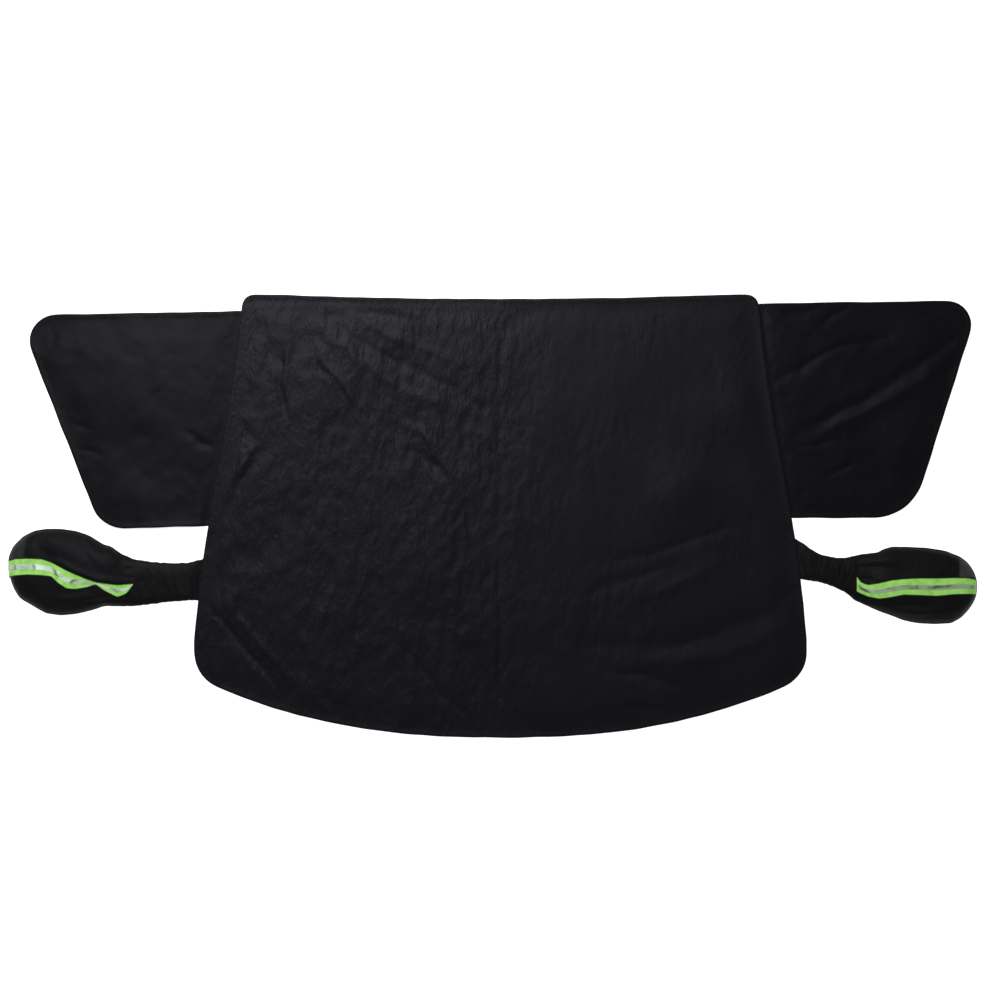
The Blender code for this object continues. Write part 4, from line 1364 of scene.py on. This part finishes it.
def make_tape(side, front, neck):
    """The bright tape draped over a pouch, its stitches, and the reflective strip down its middle."""
    stations, tops, bottoms = np.transpose(side.tape)
    tree = surface_of([front, neck])
    run = np.linspace(stations[0], stations[-1], round((stations[-1] - stations[0]) / TAPE_CELL) + 1)
    weights = (1, 2, 3, 2, 1)
    top_edge = softened(np.interp(run, stations, tops), weights) + TAPE_BORDER
    low_edge = softened(np.interp(run, stations, bottoms), weights) - TAPE_BORDER
    columns = TAPE_COLUMNS + 1
    share = np.linspace(0.0, 1.0, columns)
    place_x = np.repeat(run[:, None], columns, axis=1)
    place_y = low_edge[:, None] + (top_edge - low_edge)[:, None] * share
    height = np.empty_like(place_x)
    for index in np.ndindex(height.shape):
        hit = drop(tree, place_x[index], place_y[index])
        height[index] = hit.z if hit is not None else OFF_POUCH
    smooth = height.copy()
    for _ in range(TAPE_SMOOTHING):
        padded = np.pad(smooth, 1, mode="edge")
        smooth = (padded[:-2, 1:-1] + padded[2:, 1:-1] + padded[1:-1, :-2] + padded[1:-1, 2:]) / 4
    crease = fold_heights(place_x.ravel(), place_y.ravel(), side.tape_folds).reshape(height.shape)
    height = height + np.clip(smooth - height, 0.0, TAPE_BRIDGE) + TAPE_LIFT + crease
    slope_x = np.gradient(height, axis=0) / np.gradient(place_x, axis=0)
    slope_y = np.gradient(height, axis=1) / np.maximum(1e-5, np.gradient(place_y, axis=1))
    normals = np.dstack([-slope_x, -slope_y, np.ones_like(height)])
    normals /= np.linalg.norm(normals, axis=2)[:, :, None]
    surface = np.dstack([place_x, place_y, height])
    name = side.name + "_tape"
    grids = (surface + normals * TAPE_THICKNESS, surface)
    from_edge = np.tile(((top_edge - low_edge)[:, None] * np.minimum(share, 1.0 - share)).ravel(), 2)
    band = add_shell(name + "_band_web", *grids, BRIGHT_TAPE, "bright_tape", edge_distance=from_edge)
    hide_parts(name + "_band")
    strip_columns = STRIP_COLUMNS[side.name]
    half = (TAPE_COLUMNS - strip_columns) // 2
    inner = (slice(2, -2), slice(half, half + strip_columns + 1))
    lifted = surface[inner] + normals[inner] * (TAPE_THICKNESS + STRIP_GAP)
    grids = (lifted + normals[inner] * STRIP_THICKNESS, lifted)
    # How far a crease ridge raises each strip point; the strip's material paints shade there.
    pinched = np.tile(np.clip(crease[inner].ravel() / PINCH, 0.0, 1.0), 2)
    film = STRIP_FILMS[side.name]
    strip = add_shell(name + "_strip_film", *grids, film, "reflective_strip", pinched=pinched)
    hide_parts(name + "_strip")
    on_band = surface_of([band])
    for label, column in (("lower", 1), ("upper", columns - 2)):
        line = surface[2:-2, column, :2]
        seam_name = f"{name}_{label}_stitches"
        add_stitches(seam_name, line, on_band, LIME_THREAD, "bright_tape", False)


make_main_panel()
for each_side in (LEFT, RIGHT):
    make_wing(each_side)
    each_arm = Arm(each_side)
    pouch_front = make_pouch_front(each_arm)
    make_pouch_back(each_arm)
    make_pouch_binding(each_arm)
    make_mouth_elastic(each_arm)
    pouch_neck = make_neck(each_arm)
    make_neck_elastic(each_side)
    make_tape(each_side, pouch_front, pouch_neck)


# Floor, light and camera

FLOOR_SIZE = 60.0
FLOOR_SHADE = (0.9, 0.9, 0.9, 1.0)
FLOOR_GLOW = 0.72
SKY = (0.97, 0.98, 1.0, 1.0)
SKY_STRENGTH = 0.37
WHITE = (1.0, 1.0, 1.0, 1.0)
LAMP_PLACE = (-0.88, 1.62, 2.95)
LAMP_TARGET = (-0.1, 0.0, 0.0)
LAMP_SIZE = 1.2
LAMP_POWER = 71.0
CAMERA_HEIGHT = 5.0
PHOTO_WIDTH = 2.4024
PHOTO_MIDDLE_Y = 0.0372
SENSOR_WIDTH = 36.0
CAMERA_FAR = 200.0


def make_floor():
    """A white floor that keeps a faint shadow of the object."""
    half = FLOOR_SIZE / 2
    mesh = bpy.data.meshes.new("floor")
    corners = [(-half, -half, 0.0), (half, -half, 0.0), (half, half, 0.0), (-half, half, 0.0)]
    mesh.from_pydata(corners, [], [(0, 1, 2, 3)])
    floor = bpy.data.objects.new("floor", mesh)
    bpy.context.collection.objects.link(floor)
    material, tree, shader = new_material("floor_white")
    shader.inputs["Base Color"].default_value = FLOOR_SHADE
    set_finish(shader, 0.9, 0.0)
    path = add_node(tree, "ShaderNodeLightPath")
    seen = math_node(tree, "MAXIMUM", path.outputs["Is Camera Ray"], path.outputs["Is Glossy Ray"])
    seen = math_node(tree, "MAXIMUM", seen, path.outputs["Is Transmission Ray"])
    glow = add_node(tree, "ShaderNodeEmission", Strength=product(tree, seen, FLOOR_GLOW))
    both = add_node(tree, "ShaderNodeAddShader")
    link(tree, shader.outputs["BSDF"], both.inputs[0])
    link(tree, glow.outputs["Emission"], both.inputs[1])
    link(tree, both.outputs["Shader"], tree.nodes["Material Output"].inputs["Surface"])
    mesh.materials.append(material)


def make_world():
    """Plain even light all round, white where the camera sees it."""
    world = bpy.data.worlds.new("studio")
    bpy.context.scene.world = world
    world.use_nodes = True
    tree = world.node_tree
    background = tree.nodes["Background"]
    background.inputs["Color"].default_value = SKY
    background.inputs["Strength"].default_value = SKY_STRENGTH
    seen = add_node(tree, "ShaderNodeBackground", Color=WHITE, Strength=1.0)
    path = add_node(tree, "ShaderNodeLightPath")
    mix = add_node(tree, "ShaderNodeMixShader", Fac=path.outputs["Is Camera Ray"])
    link(tree, background.outputs["Background"], mix.inputs[1])
    link(tree, seen.outputs["Background"], mix.inputs[2])
    link(tree, mix.outputs["Shader"], tree.nodes["World Output"].inputs["Surface"])


def make_lamp():
    """The one lamp: square, soft, and turned to the cover from above its upper left."""
    data = bpy.data.lights.new("key", "AREA")
    data.size = LAMP_SIZE
    data.energy = LAMP_POWER
    lamp = bpy.data.objects.new("key", data)
    lamp.location = LAMP_PLACE
    aim = Vector(LAMP_TARGET) - Vector(LAMP_PLACE)
    lamp.rotation_euler = aim.to_track_quat("-Z", "Y").to_euler()
    bpy.context.collection.objects.link(lamp)


def make_camera():
    """The photograph's camera, straight above."""
    data = bpy.data.cameras.new("camera")
    data.sensor_width = SENSOR_WIDTH
    data.lens = SENSOR_WIDTH * CAMERA_HEIGHT / PHOTO_WIDTH
    data.clip_end = CAMERA_FAR
    camera = bpy.data.objects.new("camera", data)
    camera.location = (0.0, PHOTO_MIDDLE_Y, CAMERA_HEIGHT)
    bpy.context.collection.objects.link(camera)
    bpy.context.scene.camera = camera


make_floor()
make_world()
make_lamp()
make_camera()
bpy.context.scene.view_settings.view_transform = "Standard"
